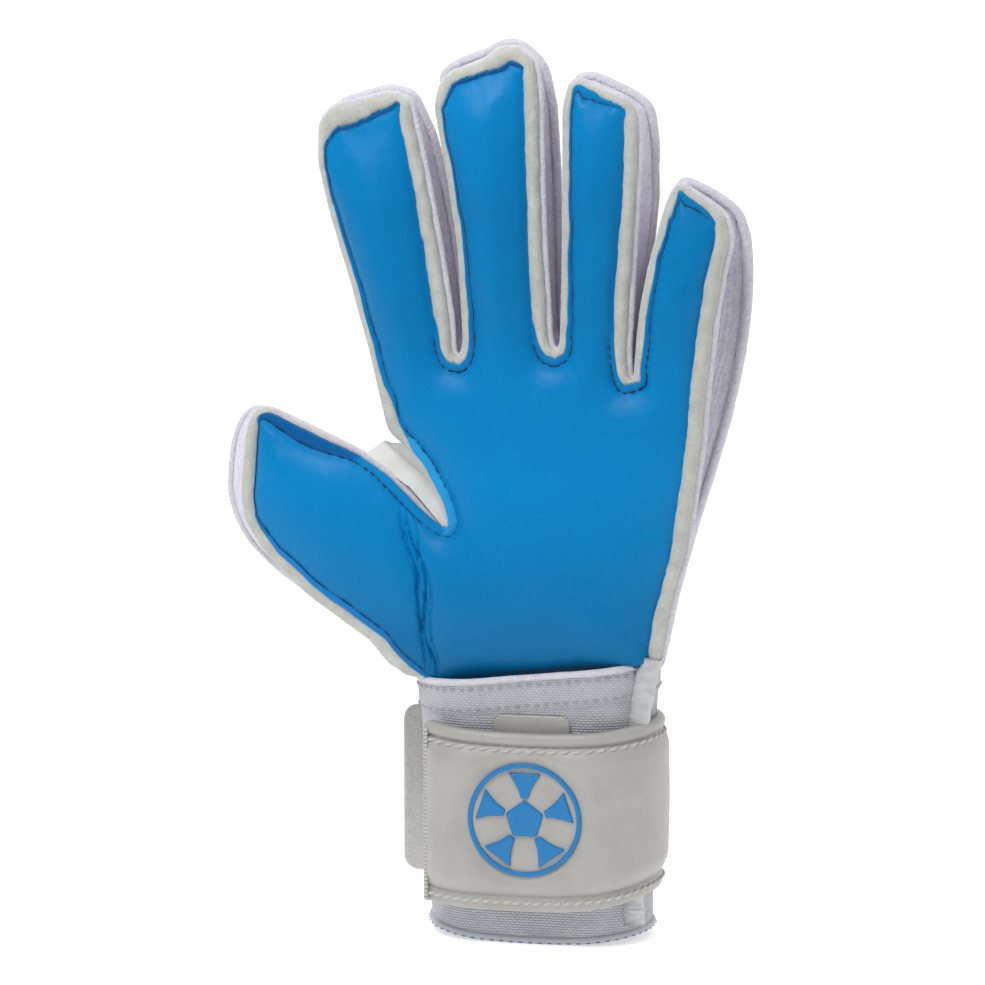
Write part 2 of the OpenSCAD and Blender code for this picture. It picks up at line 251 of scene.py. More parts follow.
def join(a, marks_a, b, axis):
    """Two outlines that face each other across a bending line, as one. The joined corners are marked."""
    best = None
    next_a, next_b = np.roll(a, -1, 0), np.roll(b, -1, 0)
    for i in range(len(a)):
        for j in range(len(b)):
            if not (along_line(next_a[i] - a[i], axis) and along_line(next_b[j] - b[j], axis)):
                continue
            apart = np.linalg.norm(a[i] - next_b[j]) + np.linalg.norm(next_a[i] - b[j])
            if best is None or apart < best[0]:
                best = (apart, i, j)
    _, i, j = best
    turned = np.roll(b, -(j + 1), 0)
    marks_b = [True] + [False] * (len(b) - 2) + [True]
    points = np.concatenate([a[: i + 1], turned, a[i + 1:]])
    marks = marks_a[:i] + [True] + marks_b + marks_a[i + 1:]
    marks[(i + 1 + len(b)) % len(points)] = True
    return points, marks


def hand_outline(part, palm_node):
    """A layer's whole outline with the fingers and the thumb joined on, and its marked corners."""
    points = plate_loop(palm_node)
    first = int(np.argmax(points[:, 0] - 2 * points[:, 1]))
    points = np.roll(points, -first, 0)
    marks = [True] + [False] * (len(points) - 1)
    for finger in [*FINGERS, "thumb"]:
        first, second = (crease_axis, thumb_axis) if finger == "thumb" else (X, X)
        points, marks = join(points, marks, plate_loop(f"{finger}_lower_{part}"), first)
        points, marks = join(points, marks, plate_loop(f"{finger}_tip_{part}"), second)
    return points, np.flatnonzero(marks)


def walk(points, count):
    """An open line resampled to count points, without its last one."""
    steps = lengths_along(points)
    return points_at(points, steps, np.linspace(0, steps[-1], count + 1)[:-1])


def resampled(outline, step):
    """A closed outline at an even spacing."""
    closed = np.r_[outline, outline[:1]]
    return walk(closed, int(total_length(closed) / step))


def soften(values, sigma):
    """Values round a closed line, smoothed over sigma samples."""
    reach = int(4 * sigma) + 1
    weights = np.exp(-0.5 * (np.arange(-reach, reach + 1) / sigma) ** 2)
    shifted = [np.roll(values, k, 0) * w for k, w in zip(range(-reach, reach + 1), weights)]
    return sum(shifted) / weights.sum()


def normals_of(points):
    """The outward direction at each point of a closed outline that runs anticlockwise."""
    along = soften(np.roll(points, -1, 0) - np.roll(points, 1, 0), 1.0)
    out = np.c_[along[:, 1], -along[:, 0]]
    return out / np.linalg.norm(out, axis=1)[:, None]


def distance_to(outline, points):
    """Each point's distance to a closed outline, and the nearest sample's number."""
    a, b = outline, np.roll(outline, -1, 0)
    ab = b - a
    length = np.sum(ab * ab, 1)
    found, nearest = [], []
    for part in np.array_split(points, max(1, len(points) // 800)):
        gap = part[:, None] - a[None]
        t = unit(np.sum(gap * ab[None], 2) / length)
        d = np.linalg.norm(gap - t[..., None] * ab[None], axis=2)
        k = d.argmin(1)
        found.append(d[np.arange(len(part)), k])
        nearest.append(k)
    return np.concatenate(found), np.concatenate(nearest)


def inside(outline, points):
    """Which points lie inside a closed outline."""
    a, b = outline, np.roll(outline, -1, 0)
    within = np.zeros(len(points), bool)
    for (ax, az), (bx, bz) in zip(a, b):
        if az == bz:
            continue
        crosses = (az > points[:, 1]) != (bz > points[:, 1])
        at = ax + (points[:, 1] - az) * (bx - ax) / (bz - az)
        within ^= crosses & (points[:, 0] < at)
    return within


def inset(outline, depth):
    """An outline moved inwards by depth, less the points that would cross over."""
    depth = np.broadcast_to(depth, len(outline))
    moved = outline - normals_of(outline) * depth[:, None]
    gap, _ = distance_to(outline, moved)
    keep = (gap > 0.93 * depth) & inside(outline, moved)
    return moved[keep], np.flatnonzero(keep)


STEP = 1.2
foam_points, foam_marks = hand_outline("foam", "palm_foam")
back_points, back_marks = hand_outline("back", "backhand")


def sections(points, marks):
    """The outline cut at its marked corners."""
    closed = np.r_[points, points[:1]]
    ends = [*marks, len(points)]
    return [closed[a: b + 1] for a, b in zip(ends, ends[1:])]


foam_parts, back_parts = sections(foam_points, foam_marks), sections(back_points, back_marks)
# Both outlines get the same count of points in each section, so that walls can join them.
counts = [max(1, round(total_length(p) / STEP)) for p in foam_parts]
FOAM = soften(np.concatenate([walk(p, n) for p, n in zip(foam_parts, counts)]), 1.5)
BACK = soften(np.concatenate([walk(p, n) for p, n in zip(back_parts, counts)]), 1.8)


def wrist_drop(outline):
    """How far an outline's lower edge is let down towards the thumb's side."""
    return 5.0 * unit((30 - outline[:, 0]) / 66) * unit((92 - outline[:, 1]) / 8)


# The side walls leave the wrist open: these outline points lie above the palm's lower edge.
open_run = FOAM[:, 1] > PALM_Z + 1.5
first = int(np.flatnonzero(open_run & ~np.roll(open_run, 1))[0])
RUN = [(first + k) % len(FOAM) for k in range(int(open_run.sum()))]
FOAM[:, 1] -= wrist_drop(FOAM)
BACK[:, 1] -= wrist_drop(BACK)

finger_shapes = {}
for f in FINGERS:
    lower = plate_loop(f + "_lower_back")
    finger_shapes[f] = join(lower, [False] * len(lower), plate_loop(f + "_tip_back"), X)[0]


def nearest_finger(points):
    """The number of the finger that each (x, z) point lies in or next to."""
    away = []
    for f in FINGERS:
        gap, _ = distance_to(finger_shapes[f], points)
        away.append(np.where(inside(finger_shapes[f], points), -gap, gap))
    return np.argmin(away, 0)


def regions_at(points):
    """The region's name at each (x, z) point."""
    x, z = points[:, 0], points[:, 1]
    names = np.full(len(points), "palm", dtype="<U12")
    finger = nearest_finger(points)
    for k, f in enumerate(FINGERS):
        mine = (finger == k) & (z > knuckle_z[f] - KNUCKLE_BEFORE - 2)
        names[mine] = f + "_base"
        split = 0.5 * (knuckle_z[f] + KNUCKLE_AFTER + middle_z[f] - JOINT_HALF)
        names[mine & (z > split)] = f + "_end"
    crease_x = crease_at[0] + (z - crease_at[2]) * crease_axis[0] / crease_axis[2]
    edge = np.where(z < NOTCH_Z[0], crease_x + CREASE_PART, np.interp(z, NOTCH_Z, NOTCH_X))
    thumb = (x < edge) & (z < THUMB_TOP_Z)
    names[thumb] = "thumb_base"
    names[thumb & (past_thumb_joint(x, z) > -THUMB_HALF - 1.5)] = "thumb_end"
    return names


def past_thumb_joint(x, z):
    """How far points lie beyond the thumb's joint, towards its tip."""
    return (x - thumb_at[0]) * thumb_out[0] + (z - thumb_at[2]) * thumb_out[2]


# ---- Meshes ----


def mesh_data(name, verts, faces):
    """A mesh datablock from points and faces."""
    mesh = bpy.data.meshes.new(name)
    mesh.from_pydata(np.asarray(verts).tolist(), [], [list(map(int, f)) for f in faces])
    mesh.update()
    return mesh


def linked(name, data):
    """An object of its own for some data, in the scene."""
    made = bpy.data.objects.new(name, data)
    bpy.context.scene.collection.objects.link(made)
    return made


def mesh_object(name, verts, faces, materials, face_slots=None, uv=None, normals=None):
    """A smooth mesh object from points in millimetres."""
    mesh = mesh_data(name, np.asarray(verts) * MM, faces)
    for m in materials:
        mesh.materials.append(m)
    mesh.polygons.foreach_set("use_smooth", [True] * len(faces))
    if face_slots is not None:
        mesh.polygons.foreach_set("material_index", np.asarray(face_slots, np.int32))
    if uv is not None:
        layer = mesh.uv_layers.new(name="weave")
        loops = np.zeros(len(mesh.loops), np.int32)
        mesh.loops.foreach_get("vertex_index", loops)
        layer.data.foreach_set("uv", np.asarray(uv, np.float32)[loops].ravel())
    mesh.update()
    if normals is not None:
        mesh.normals_split_custom_set_from_vertices(normals)
    return linked(name, mesh)


def vertex_normals(verts, faces):
    """Smooth normals of a whole mesh, before it is cut into pieces."""
    mesh = mesh_data("whole", verts, faces)
    found = np.zeros(len(verts) * 3, np.float32)
    mesh.vertex_normals.foreach_get("vector", found)
    bpy.data.meshes.remove(mesh)
    return found.reshape(-1, 3)


def attach(piece, region):
    """The piece rides on its region's body if it has only one; otherwise it is baked where it stands."""
    bodies = REGIONS[region]
    if len(bodies) == 1:
        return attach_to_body(piece, bodies[0])
    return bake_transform(piece)


def spread(name, verts, faces, materials, slot, part=None, face_slots=None):
    """A mesh over the whole hand, cut into one piece for each region that it crosses."""
    verts = np.asarray(verts)
    normals = vertex_normals(verts, faces)
    centres = np.array([verts[list(f)].mean(0) for f in faces])
    labels = regions_at(centres[:, [0, 2]])
    face_slots = np.zeros(len(faces), int) if face_slots is None else np.asarray(face_slots)
    made = {}
    for region in REGIONS:
        chosen = np.flatnonzero(labels == region)
        if not len(chosen):
            continue
        used = sorted({i for k in chosen for i in faces[k]})
        number = {old: new for new, old in enumerate(used)}
        own_faces = [[number[i] for i in faces[k]] for k in chosen]
        piece = mesh_object(f"{name}_{region}", verts[used], own_faces, materials,
                            face_slots[chosen], normals=normals[used])
        attach(piece, region)
        if part:
            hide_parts(node_of(region, part))
        made[region] = piece
    return made


def hex_grid(outline, spacing, clear):
    """Points in rows inside an outline, no nearer to it than clear."""
    low, high = outline.min(0), outline.max(0)
    rows = np.arange(low[1], high[1], spacing * 0.866)
    points = []
    for k, z in enumerate(rows):
        x = np.arange(low[0] + (k % 2) * spacing / 2, high[0], spacing)
        points.append(np.stack(np.broadcast_arrays(x, z), 1))
    points = np.concatenate(points)
    points = points[inside(outline, points)]
    return points[distance_to(outline, points)[0] > clear]


def fill(outline, depths, spacing, extra=()):
    """A closed outline filled with triangles: rings along its edge and a grid within."""
    points, deepest = [outline], 0
    for depth in depths:
        ring, _ = inset(outline, depth)
        points.append(ring)
        deepest = max(deepest, float(np.max(depth)))
    grid = hex_grid(outline, spacing, deepest + 0.6 * spacing)
    for cloud in extra:
        cloud = cloud[inside(outline, cloud)]
        cloud = cloud[distance_to(outline, cloud)[0] > 0.5]
        if len(cloud) and len(grid):
            lonely = [np.min(np.sum((cloud - g) ** 2, 1)) > (0.5 * spacing) ** 2 for g in grid]
            grid = grid[np.array(lonely)]
        points.append(cloud)
    points = np.concatenate([*points, grid])
    coords = [Vector(p) for p in points]
    edge = list(range(len(outline)))
    verts, _, faces, _, _, _ = geometry.delaunay_2d_cdt(coords, [], [edge], 1, 1e-5)
    return np.array([tuple(v) for v in verts]), [tuple(f) for f in faces]


def closed_layer(flat, faces, front, back):
    """The points and faces of a solid between two depths over a flat mesh."""
    n = len(flat)
    verts = np.concatenate([at_depth(flat, front), at_depth(flat, back)])
    ahead = [f if is_anticlockwise(flat, f) else f[::-1] for f in faces]
    edges = {(a, b): True for f in ahead for a, b in zip(f, f[1:] + f[:1])}
    rim = [(b, a, a + n, b + n) for a, b in edges if (b, a) not in edges]
    behind = [tuple(i + n for i in f[::-1]) for f in ahead]
    return verts, ahead + behind + rim


def is_anticlockwise(flat, face):
    a, b, c = (flat[i] for i in face[:3])
    return (b[0] - a[0]) * (c[1] - a[1]) - (b[1] - a[1]) * (c[0] - a[0]) > 0


def merged(parts):
    """Several meshes' points and faces as one mesh's."""
    verts, faces, count = [], [], 0
    for own_verts, own_faces in parts:
        faces += [tuple(i + count for i in face) for face in own_faces]
        verts.append(own_verts)
        count += len(own_verts)
    return np.concatenate(verts), faces


def grid_faces(n, m, loop_path, loop_profile=True):
    """Quads over n profiles of m points each. An open tube gets end caps."""
    faces = []
    for i in range(n if loop_path else n - 1):
        for j in range(m if loop_profile else m - 1):
            a, b = i * m, (i + 1) % n * m
            k = (j + 1) % m
            faces.append((a + j, b + j, b + k, a + k))
    if loop_profile and not loop_path:
        faces.append(tuple(range(m))[::-1])
        faces.append(tuple(range((n - 1) * m, n * m)))
    return faces


def turned_over(faces):
    """Faces seen from their other side, each from the same first corner."""
    return [(f[0], *f[:0:-1]) for f in faces]


def sweep(base, out, axis, offs, heights, loop=True):
    """A closed profile carried along a line. offs and heights place its points at each step."""
    shape = (len(base), np.shape(offs)[-1])
    offs, heights = np.broadcast_to(offs, shape), np.broadcast_to(heights, shape)
    verts = base[:, None] + out[:, None] * offs[..., None] + axis * heights[..., None]
    verts = verts.reshape(-1, 3)
    return verts, face_outwards(verts, grid_faces(*shape, loop))


def face_outwards(verts, faces):
    """The faces turned so that a closed mesh has a positive volume."""
    fans = np.array([(f[0], f[j], f[j + 1]) for f in faces for j in range(1, len(f) - 1)])
    a, b, c = (verts[column] for column in fans.T)
    return faces if np.sum(a * np.cross(b, c)) > 0 else [tuple(f)[::-1] for f in faces]


def tube(path, radius, sides=10, loop=False):
    """A round tube along 3-D points. radius may vary along it."""
    path = np.asarray(path, float)
    n = len(path)
    along = np.roll(path, -1, 0) - np.roll(path, 1, 0) if loop else np.gradient(path, axis=0)
    along /= np.linalg.norm(along, axis=1)[:, None]
    side = np.cross(along, Y)
    side /= np.linalg.norm(side, axis=1)[:, None] + 1e-9
    up = np.cross(side, along)
    turn = circle(sides)[None, :, None]
    ring = side[:, None] * np.cos(turn) + up[:, None] * np.sin(turn)
    verts = (path[:, None] + ring * np.broadcast_to(radius, n)[:, None, None]).reshape(-1, 3)
    return verts, face_outwards(verts, turned_over(grid_faces(n, sides, loop)))


STITCH_POINTS = 5


def stitch_lines(path, length, gap):
    """The short lines that stitches follow, end to end along 3-D points."""
    path = np.asarray(path, float)
    steps = lengths_along(path)
    at = 0.0
    while at + length < steps[-1]:
        yield points_at(path, steps, np.linspace(at, at + length, STITCH_POINTS))
        at += length + gap


def stitches(path, length, gap, radius, lift=-Y):
    """Short threads end to end along 3-D points, each one dipping into the fabric at its ends."""
    arch = np.sin(np.linspace(0, math.pi, STITCH_POINTS))
    rise = lift * (arch * radius * 1.2)[:, None]
    thick = radius * (0.35 + 0.65 * arch)
    return merged([tube(line + rise, thick, 6) for line in stitch_lines(path, length, gap)])


# ---- Materials ----


def feed(tree, value, socket):
    """A socket linked to another node's output, or set to a value."""
    if isinstance(value, bpy.types.NodeSocket):
        tree.links.new(value, socket)
    else:
        socket.default_value = value


def shader_node(tree, kind, inputs, **settings):
    """A shader node with each of the given inputs fed."""
    node = tree.nodes.new("ShaderNode" + kind)
    for key, value in settings.items():
        setattr(node, key, value)
    for key, value in inputs.items():
        feed(tree, value, node.inputs[key])
    return node


def map_range(tree, source, ends, values=(0.0, 1.0)):
    """A value stretched so that the ends become the values."""
    names = ("Value", "From Min", "From Max", "To Min", "To Max")
    return shader_node(tree, "MapRange", dict(zip(names, (source, *ends, *values)))).outputs[0]


class Shader:
    """A Principled material with a few short ways to add texture nodes."""

    def __init__(self, name, roughness, **constants):
        self.made = bpy.data.materials.new(name)
        self.made.use_nodes = True
        self.tree = self.made.node_tree
        self.surface = self.tree.nodes["Principled BSDF"].inputs
        self.surface["Roughness"].default_value = roughness
        for key, value in constants.items():
            self.surface[key.replace("_", " ")].default_value = value
        coords = self.add("TexCoord", {})
        self.place, self.uv = coords.outputs["Object"], coords.outputs["UV"]

    def add(self, kind, inputs, **settings):
        return shader_node(self.tree, kind, inputs, **settings)

    def scaled(self, size, stretch, uv=False):
        """Coordinates in which a size in millimetres is one step."""
        inputs = {"Vector": self.uv if uv else self.place, "Scale": [k / (size * MM) for k in stretch]}
        return self.add("Mapping", inputs).outputs[0]

    def noise(self, size, detail=2.0, rough=0.5, stretch=(1, 1, 1), uv=False):
        """Noise with lumps of the given size in millimetres, from 0 to 1."""
        inputs = {"Vector": self.scaled(size, stretch, uv), "Scale": 1.0, "Detail": detail,
                  "Roughness": rough}
        return self.add("TexNoise", inputs).outputs["Fac"]

    def cells(self, size, stretch=(1, 1, 1), kind="SMOOTH_F1"):
        """Distance to the nearest cell's centre, for loops, grains and pile."""
        inputs = {"Vector": self.scaled(size, stretch), "Scale": 1.0}
        return self.add("TexVoronoi", inputs, feature=kind).outputs["Distance"]

    def wave(self, pitch, direction, distortion=0.0):
        """Even bands at a pitch in millimetres."""
        inputs = {"Vector": self.place, "Scale": math.pi / 10 / (pitch * MM), "Distortion": distortion}
        return self.add("TexWave", inputs, bands_direction=direction).outputs["Fac"]

    def bricks(self, width, height, gap):
        """Rows of short stitches, each row set off by half a stitch: 1 on a stitch, 0 between them."""
        inputs = {"Vector": self.scaled(1, (1, 1, 1), True), "Scale": 1.0, "Brick Width": width,
                  "Row Height": height, "Mortar Size": gap, "Mortar Smooth": 1.0}
        return self.inverse(self.add("TexBrick", inputs).outputs["Fac"])

    def math(self, kind, a, b):
        return self.add("Math", {0: a, 1: b}, operation=kind).outputs[0]

    def inverse(self, source):
        return self.math("SUBTRACT", 1.0, source)

    def ramp(self, source, stops):
        """A colour ramp with sRGB stops: (place, (r, g, b))."""
        node = self.add("ValToRGB", {"Fac": source})
        while len(node.color_ramp.elements) < len(stops):
            node.color_ramp.elements.new(0.5)
        for element, (place, colour) in zip(node.color_ramp.elements, stops):
            element.position = place
            element.color = (*srgb(colour), 1)
        return node.outputs["Color"]

    def shades(self, source, low, high, ends=(0.3, 0.7)):
        """A colour ramp between two colours."""
        return self.ramp(source, list(zip(ends, (low, high))))

    def mix(self, factor, a, b, kind="MIX"):
        return self.add("Mix", {0: factor, 6: a, 7: b}, data_type="RGBA", blend_type=kind).outputs[2]

    def coordinate(self, axis):
        return self.add("SeparateXYZ", {"Vector": self.place}).outputs[axis]

    def height_tone(self, stops):
        """A grey tone that changes with height: (height in millimetres, grey)."""
        low, high = stops[0][0], stops[-1][0]
        share = map_range(self.tree, self.coordinate("Z"), (low * MM, high * MM))
        return self.ramp(share, [((z - low) / (high - low), (g, g, g)) for z, g in stops])

    def colour(self, source):
        self.tree.links.new(source, self.surface["Base Color"])

    def roughness(self, source, low, high):
        self.tree.links.new(map_range(self.tree, source, (0.0, 1.0), (low, high)),
                            self.surface["Roughness"])

    def bump(self, *layers):
        """The finished material, with bump from (pattern, depth in millimetres) layers."""
        below = None
        for pattern, depth in layers:
            inputs = {"Height": pattern, "Strength": 1.0, "Distance": depth * MM}
            if below is not None:
                inputs["Normal"] = below
            below = self.add("Bump", inputs).outputs[0]
        self.tree.links.new(below, self.surface["Normal"])
        return self.made


def tinted(stops, shift):
    """A ramp's stops with their colours shifted."""
    return [(at, tuple(min(255, max(0, c + d)) for c, d in zip(colour, shift))) for at, colour in stops]


def srgb(colour):
    """Linear values of an 8-bit sRGB colour."""
    return [(c / 255 / 12.92) if c <= 10 else ((c / 255 + 0.055) / 1.055) ** 2.4 for c in colour]


# The latex's grey by height in millimetres, multiplied into its colour: painted light and shade, darkest
# at the heel of the hand and brightest at the palm's middle.
LATEX_PAINTED_LIGHT_SHADE = [(80, 200), (100, 220), (125, 241), (148, 255), (178, 247), (200, 236), (235, 234),
              (262, 248), (280, 250)]
LATEX_BROAD = [(0.3, (0, 128, 194)), (0.7, (0, 136, 203))]
LATEX_FLECK = [(0.32, (0, 114, 178)), (0.5, (0, 131, 197)), (0.68, (0, 146, 211))]
DUST_SPACING = 5.5


def latex_material(name="latex_blue", shift=(0, 0, 0)):
    """Matte foam latex: speckled, faintly dusty blue, with painted light and shade by height."""
    s = Shader(name, 0.4, Specular_IOR_Level=0.14)
    base = s.ramp(s.noise(38, 3), tinted(LATEX_BROAD, shift))
    fleck = s.ramp(s.noise(0.45, 2, 0.7), tinted(LATEX_FLECK, shift))
    grains = s.cells(DUST_SPACING, kind="F1")
    dust = s.ramp(grains, [(0.0, (190, 205, 215)), (0.03, (20, 125, 190))])
    spots = s.math("MULTIPLY", s.math("LESS_THAN", grains, 0.035), 0.35)
    # Painted light and shade: the grey by height darkens the heel of the hand and brightens the palm's
    # middle.
    skin = s.mix(1.0, s.mix(0.5, base, fleck), s.height_tone(LATEX_PAINTED_LIGHT_SHADE), "MULTIPLY")
    s.colour(s.mix(spots, skin, dust))
    s.roughness(s.noise(6, 3), 0.36, 0.44)
    return s.bump((s.noise(0.5, 2, 0.7), 0.05), (s.noise(7, 2), 0.25))


def foam_material(name="foam_cream", light=(209, 210, 203), dark=(178, 180, 173)):
    s = Shader(name, 0.92, Sheen_Weight=0.25, Sheen_Roughness=0.6, Specular_IOR_Level=0.2)
    s.colour(s.mix(0.5, s.shades(s.noise(0.7, 3, 0.7), dark, light),
                   s.shades(s.noise(5, 3), dark, light)))
    return s.bump((s.noise(0.5, 3, 0.75), 0.3), (s.noise(2.2, 2), 0.36))


def terry_material(name, light, dark):
    s = Shader(name, 0.95, Sheen_Weight=0.4, Sheen_Roughness=0.5, Specular_IOR_Level=0.15)
    loops = s.cells(0.75)
    s.colour(s.mix(0.35, s.shades(loops, light, dark, (0.05, 0.75)),
                   s.shades(s.noise(3, 3), dark, light)))
    return s.bump((s.inverse(loops), 0.3), (s.noise(1.6, 2), 0.3))


def gusset_material(name="gusset_mesh", shift=(0, 0, 0)):
    """Lilac mesh knit: fine dotted rows that run along the stalls."""
    s = Shader(name, 0.9, Sheen_Weight=0.3, Specular_IOR_Level=0.2)
    holes = s.cells(0.75, (1, 1, 0.8))
    soft = s.ramp(s.noise(4, 3), tinted([(0.3, (208, 204, 220)), (0.7, (232, 229, 242))], shift))
    knit = s.ramp(holes, tinted([(0.1, (242, 239, 252)), (0.75, (194, 189, 208))], shift))
    s.colour(s.mix(0.5, soft, knit))
    return s.bump((s.wave(1.5, "Y", 1.6), 0.2), (s.inverse(holes), 0.28), (s.noise(5, 2), 0.5))


def elastic_material():
    s = Shader("elastic_knit", 0.85, Sheen_Weight=0.25, Specular_IOR_Level=0.25)
    knit = s.bricks(1.5, 0.85, 0.34)
    s.colour(s.mix(0.45, s.shades(knit, (166, 169, 177), (206, 208, 214), (0.1, 0.9)),
                   s.shades(s.noise(9, 3, uv=True), (186, 188, 195), (206, 208, 213))))
    return s.bump((knit, 0.25), (s.noise(0.5, 2, uv=True), 0.1))


def leather_material():
    s = Shader("strap_skin", 0.5, Specular_IOR_Level=0.45, Coat_Weight=0.05)
    s.colour(s.shades(s.noise(14, 3), (167, 165, 160), (177, 175, 170)))
    s.roughness(s.noise(4, 3), 0.42, 0.58)
    return s.bump((s.cells(0.9), 0.05), (s.noise(0.3, 2), 0.03))


def thread_material(name, colour, dark):
    s = Shader(name, 0.7, Sheen_Weight=0.3)
    twist = s.noise(0.3, 2, 0.6, (1, 3, 1))
    s.colour(s.shades(twist, dark, colour, (0.35, 0.65)))
    return s.bump((twist, 0.08))


def satin_material():
    s = Shader("satin_white", 0.42, Sheen_Weight=0.4, Anisotropic=0.3)
    s.colour(s.shades(s.noise(5, 3, 0.5, (1, 1, 3)), (182, 184, 187), (200, 202, 204)))
    return s.bump((s.noise(2.2, 3, 0.5, (0.5, 0.5, 2.5)), 0.5), (s.noise(0.25, 1, 0.5, (1, 1, 4)), 0.05))


def tape_material(name, colour, dark, size):
    s = Shader(name, 0.9, Sheen_Weight=0.3)
    pile = s.cells(size)
    s.colour(s.shades(pile, colour, dark, (0.1, 0.7)))
    return s.bump((s.inverse(pile), 0.22), (s.noise(2, 3), 0.25))


def web_material():
    s = Shader("web_fabric", 0.8, Sheen_Weight=0.25)
    weave = s.math("MULTIPLY", s.wave(0.6, "X"), s.wave(0.6, "Z"))
    s.colour(s.shades(s.noise(8, 3), (222, 222, 219), (234, 234, 231)))
    return s.bump((weave, 0.08), (s.noise(5, 2), 0.3))


def paint_material():
    s = Shader("emblem_blue", 0.45, Specular_IOR_Level=0.45)
    s.colour(s.shades(s.noise(1.2, 3), (18, 116, 178), (28, 126, 190)))
    return s.bump((s.noise(0.6, 2), 0.06))


LATEX = latex_material()
LATEX_DARK = latex_material("latex_shaded_fold", (0, -34, -34))
LATEX_LIGHT = latex_material("latex_stretched", (24, 12, 28))
LATEX_PALE = latex_material("latex_turned_edge", (40, 26, 24))
FOAM_SKIN = foam_material()
TERRY = terry_material("terry_lilac", (226, 225, 231), (196, 194, 204))
GUSSET = gusset_material()
# A copy of the gusset mesh darkened by about 30: painted shade for the little finger's outer side wall.
GUSSET_PAINTED_SHADE = gusset_material("gusset_mesh_painted_shade", (-30, -30, -29))
BACK_SKIN = foam_material("back_foam", (206, 207, 206), (197, 198, 197))
ELASTIC = elastic_material()
LEATHER = leather_material()
NAVY = thread_material("thread_navy", (6, 40, 92), (0, 20, 56))
WHITE_THREAD = thread_material("thread_white", (204, 204, 198), (178, 178, 172))
GREY_THREAD = thread_material("thread_grey", (172, 175, 181), (140, 144, 152))
BLUE_THREAD = thread_material("thread_blue", (44, 100, 176), (20, 60, 130))
SATIN = satin_material()
PILE = tape_material("loop_pile", (200, 200, 193), (182, 182, 175), 0.6)
HOOKS = tape_material("hook_tape", (196, 196, 190), (160, 160, 154), 0.9)
WEB = web_material()
PAINT = paint_material()


# ---- The hand's layers ----


def palm_crown(x, z):
    """How far the palm's middle stands out of its plane."""
    return 6.4 * np.exp(-(((x - 2) / 38) ** 2) - ((z - 116) / 42) ** 2)


# The crease's line across the thumb's root: heights and their x.
CREASE_Z = [80, 87.5, 95.3, 108.4, 116.9, 125.6, 134.3, 141.8, 148]
CREASE_X = [-33.0, -33.4, -35.4, -35.0, -36.0, -39.3, -40.9, -41.5, -45.2]


def crease_depth(x, z):
    """Fine wrinkled furrows that run and cross along the thumb's root, fading out at the notch."""
    off = np.interp(z, CREASE_Z, CREASE_X) - x
    # Where each furrow runs beside the crease's line, its width and its depth.
    furrows = [(1.7 + 0.6 * np.sin(z / 4.1), 0.42, 2.2), (-0.5 + 1.0 * np.sin(z / 5.3 + 1.2), 0.4, 2.3),
               (-2.3 + 0.5 * np.sin(z / 3.3 + 2), 0.45, 1.3), (2.4 - (0.3 * z) % 4.8, 0.35, 1.0),
               ((0.24 * z) % 4.2 - 1.6, 0.35, 0.8)]
    depth = 1.5 * bell(off, 5)
    for at, width, deep in furrows:
        depth = depth + deep * np.exp(-np.abs(off - at) / width)
    return depth * unit((149 - z) / 14) ** 0.8


def edge_kind(outline):
    """How much each outline point faces left, right, up and down."""
    x, z = normals_of(outline).T
    return [unit(side) ** 2 for side in (-x, x, z, -z)]


def by_facing(kinds, weights):
    """A width for each outline point, from its widths for edges that face left, right, up and down."""
    return sum(weight * kind for weight, kind in zip(weights, kinds))


def latex_inset(outline):
    """How much foam shows outside the latex along the outline."""
    kinds = edge_kind(outline)
    x, z = outline.T
    crotch = in_box(outline, -45, 50, 178, 200)
    thumb = (x < -40) & (z < 176)
    width = by_facing(kinds, (2.7, 5.6, 3.9, 1.2))
    width = np.where(z > 222, by_facing(kinds, (2.7, 5.3, 1.6, 0)), width)
    width = np.where(crotch, by_facing(kinds, (2.6, 4.8, 2.2, 2)), width)
    width = np.where(thumb, by_facing(kinds, (4.6, 1.2, 1.3, 4.4)), width)
    width = np.where(in_box(outline, -62, -24, 126, 158), 0.8, width)
    wander = rough(at_depth(outline), 9, 0.45) + rough(at_depth(outline), 3.5, 0.2, 4)
    return soften(width, 2.5) + wander * (width > 1.5)


# The width of the latex above the seam at each fingertip, by x.
TIP_MARGINS = {
    "index": [(-66, 1.2), (-46, 1.3)],
    "middle": [(-28, 1.2), (0, 1.3)],
    "ring": [(13, 3.5), (19.8, 3.3), (22, 1.4), (30, 1.0)],
    "little": [(46, 3.3), (48.5, 3.5), (52.2, 2.0), (61, 1.1)],
}


def margins(outline):
    """The width of the latex outside its seam line."""
    kinds = edge_kind(outline)
    x, z = outline.T
    crotch = in_box(outline, -45, 50, 172, 196)
    thumb = (x < -37) & (z < 172)
    thumb_top = 2.0 + 3.0 * bell(x + 74, 12)
    width = by_facing(kinds, (0.7 + 1.1 * unit((245 - z) / 60), 0.6, 0.9, 0.6))
    width = np.where(crotch, by_facing(kinds, (1.8, 1.6, 2.8, 0)), width)
    width = np.where(thumb, by_facing(kinds, (0.5, 2.6, thumb_top, 2.6)), width)
    width = np.where(in_box(outline, -50, -22, 124, 160), 3.0, width)
    finger = nearest_finger(outline)
    for k, f in enumerate(FINGERS):
        over = (finger == k) & (kinds[2] > 0.35) & (z > 225)
        width = np.where(over, np.interp(x, *np.transpose(TIP_MARGINS[f])), width)
    return soften(width, 1.8)


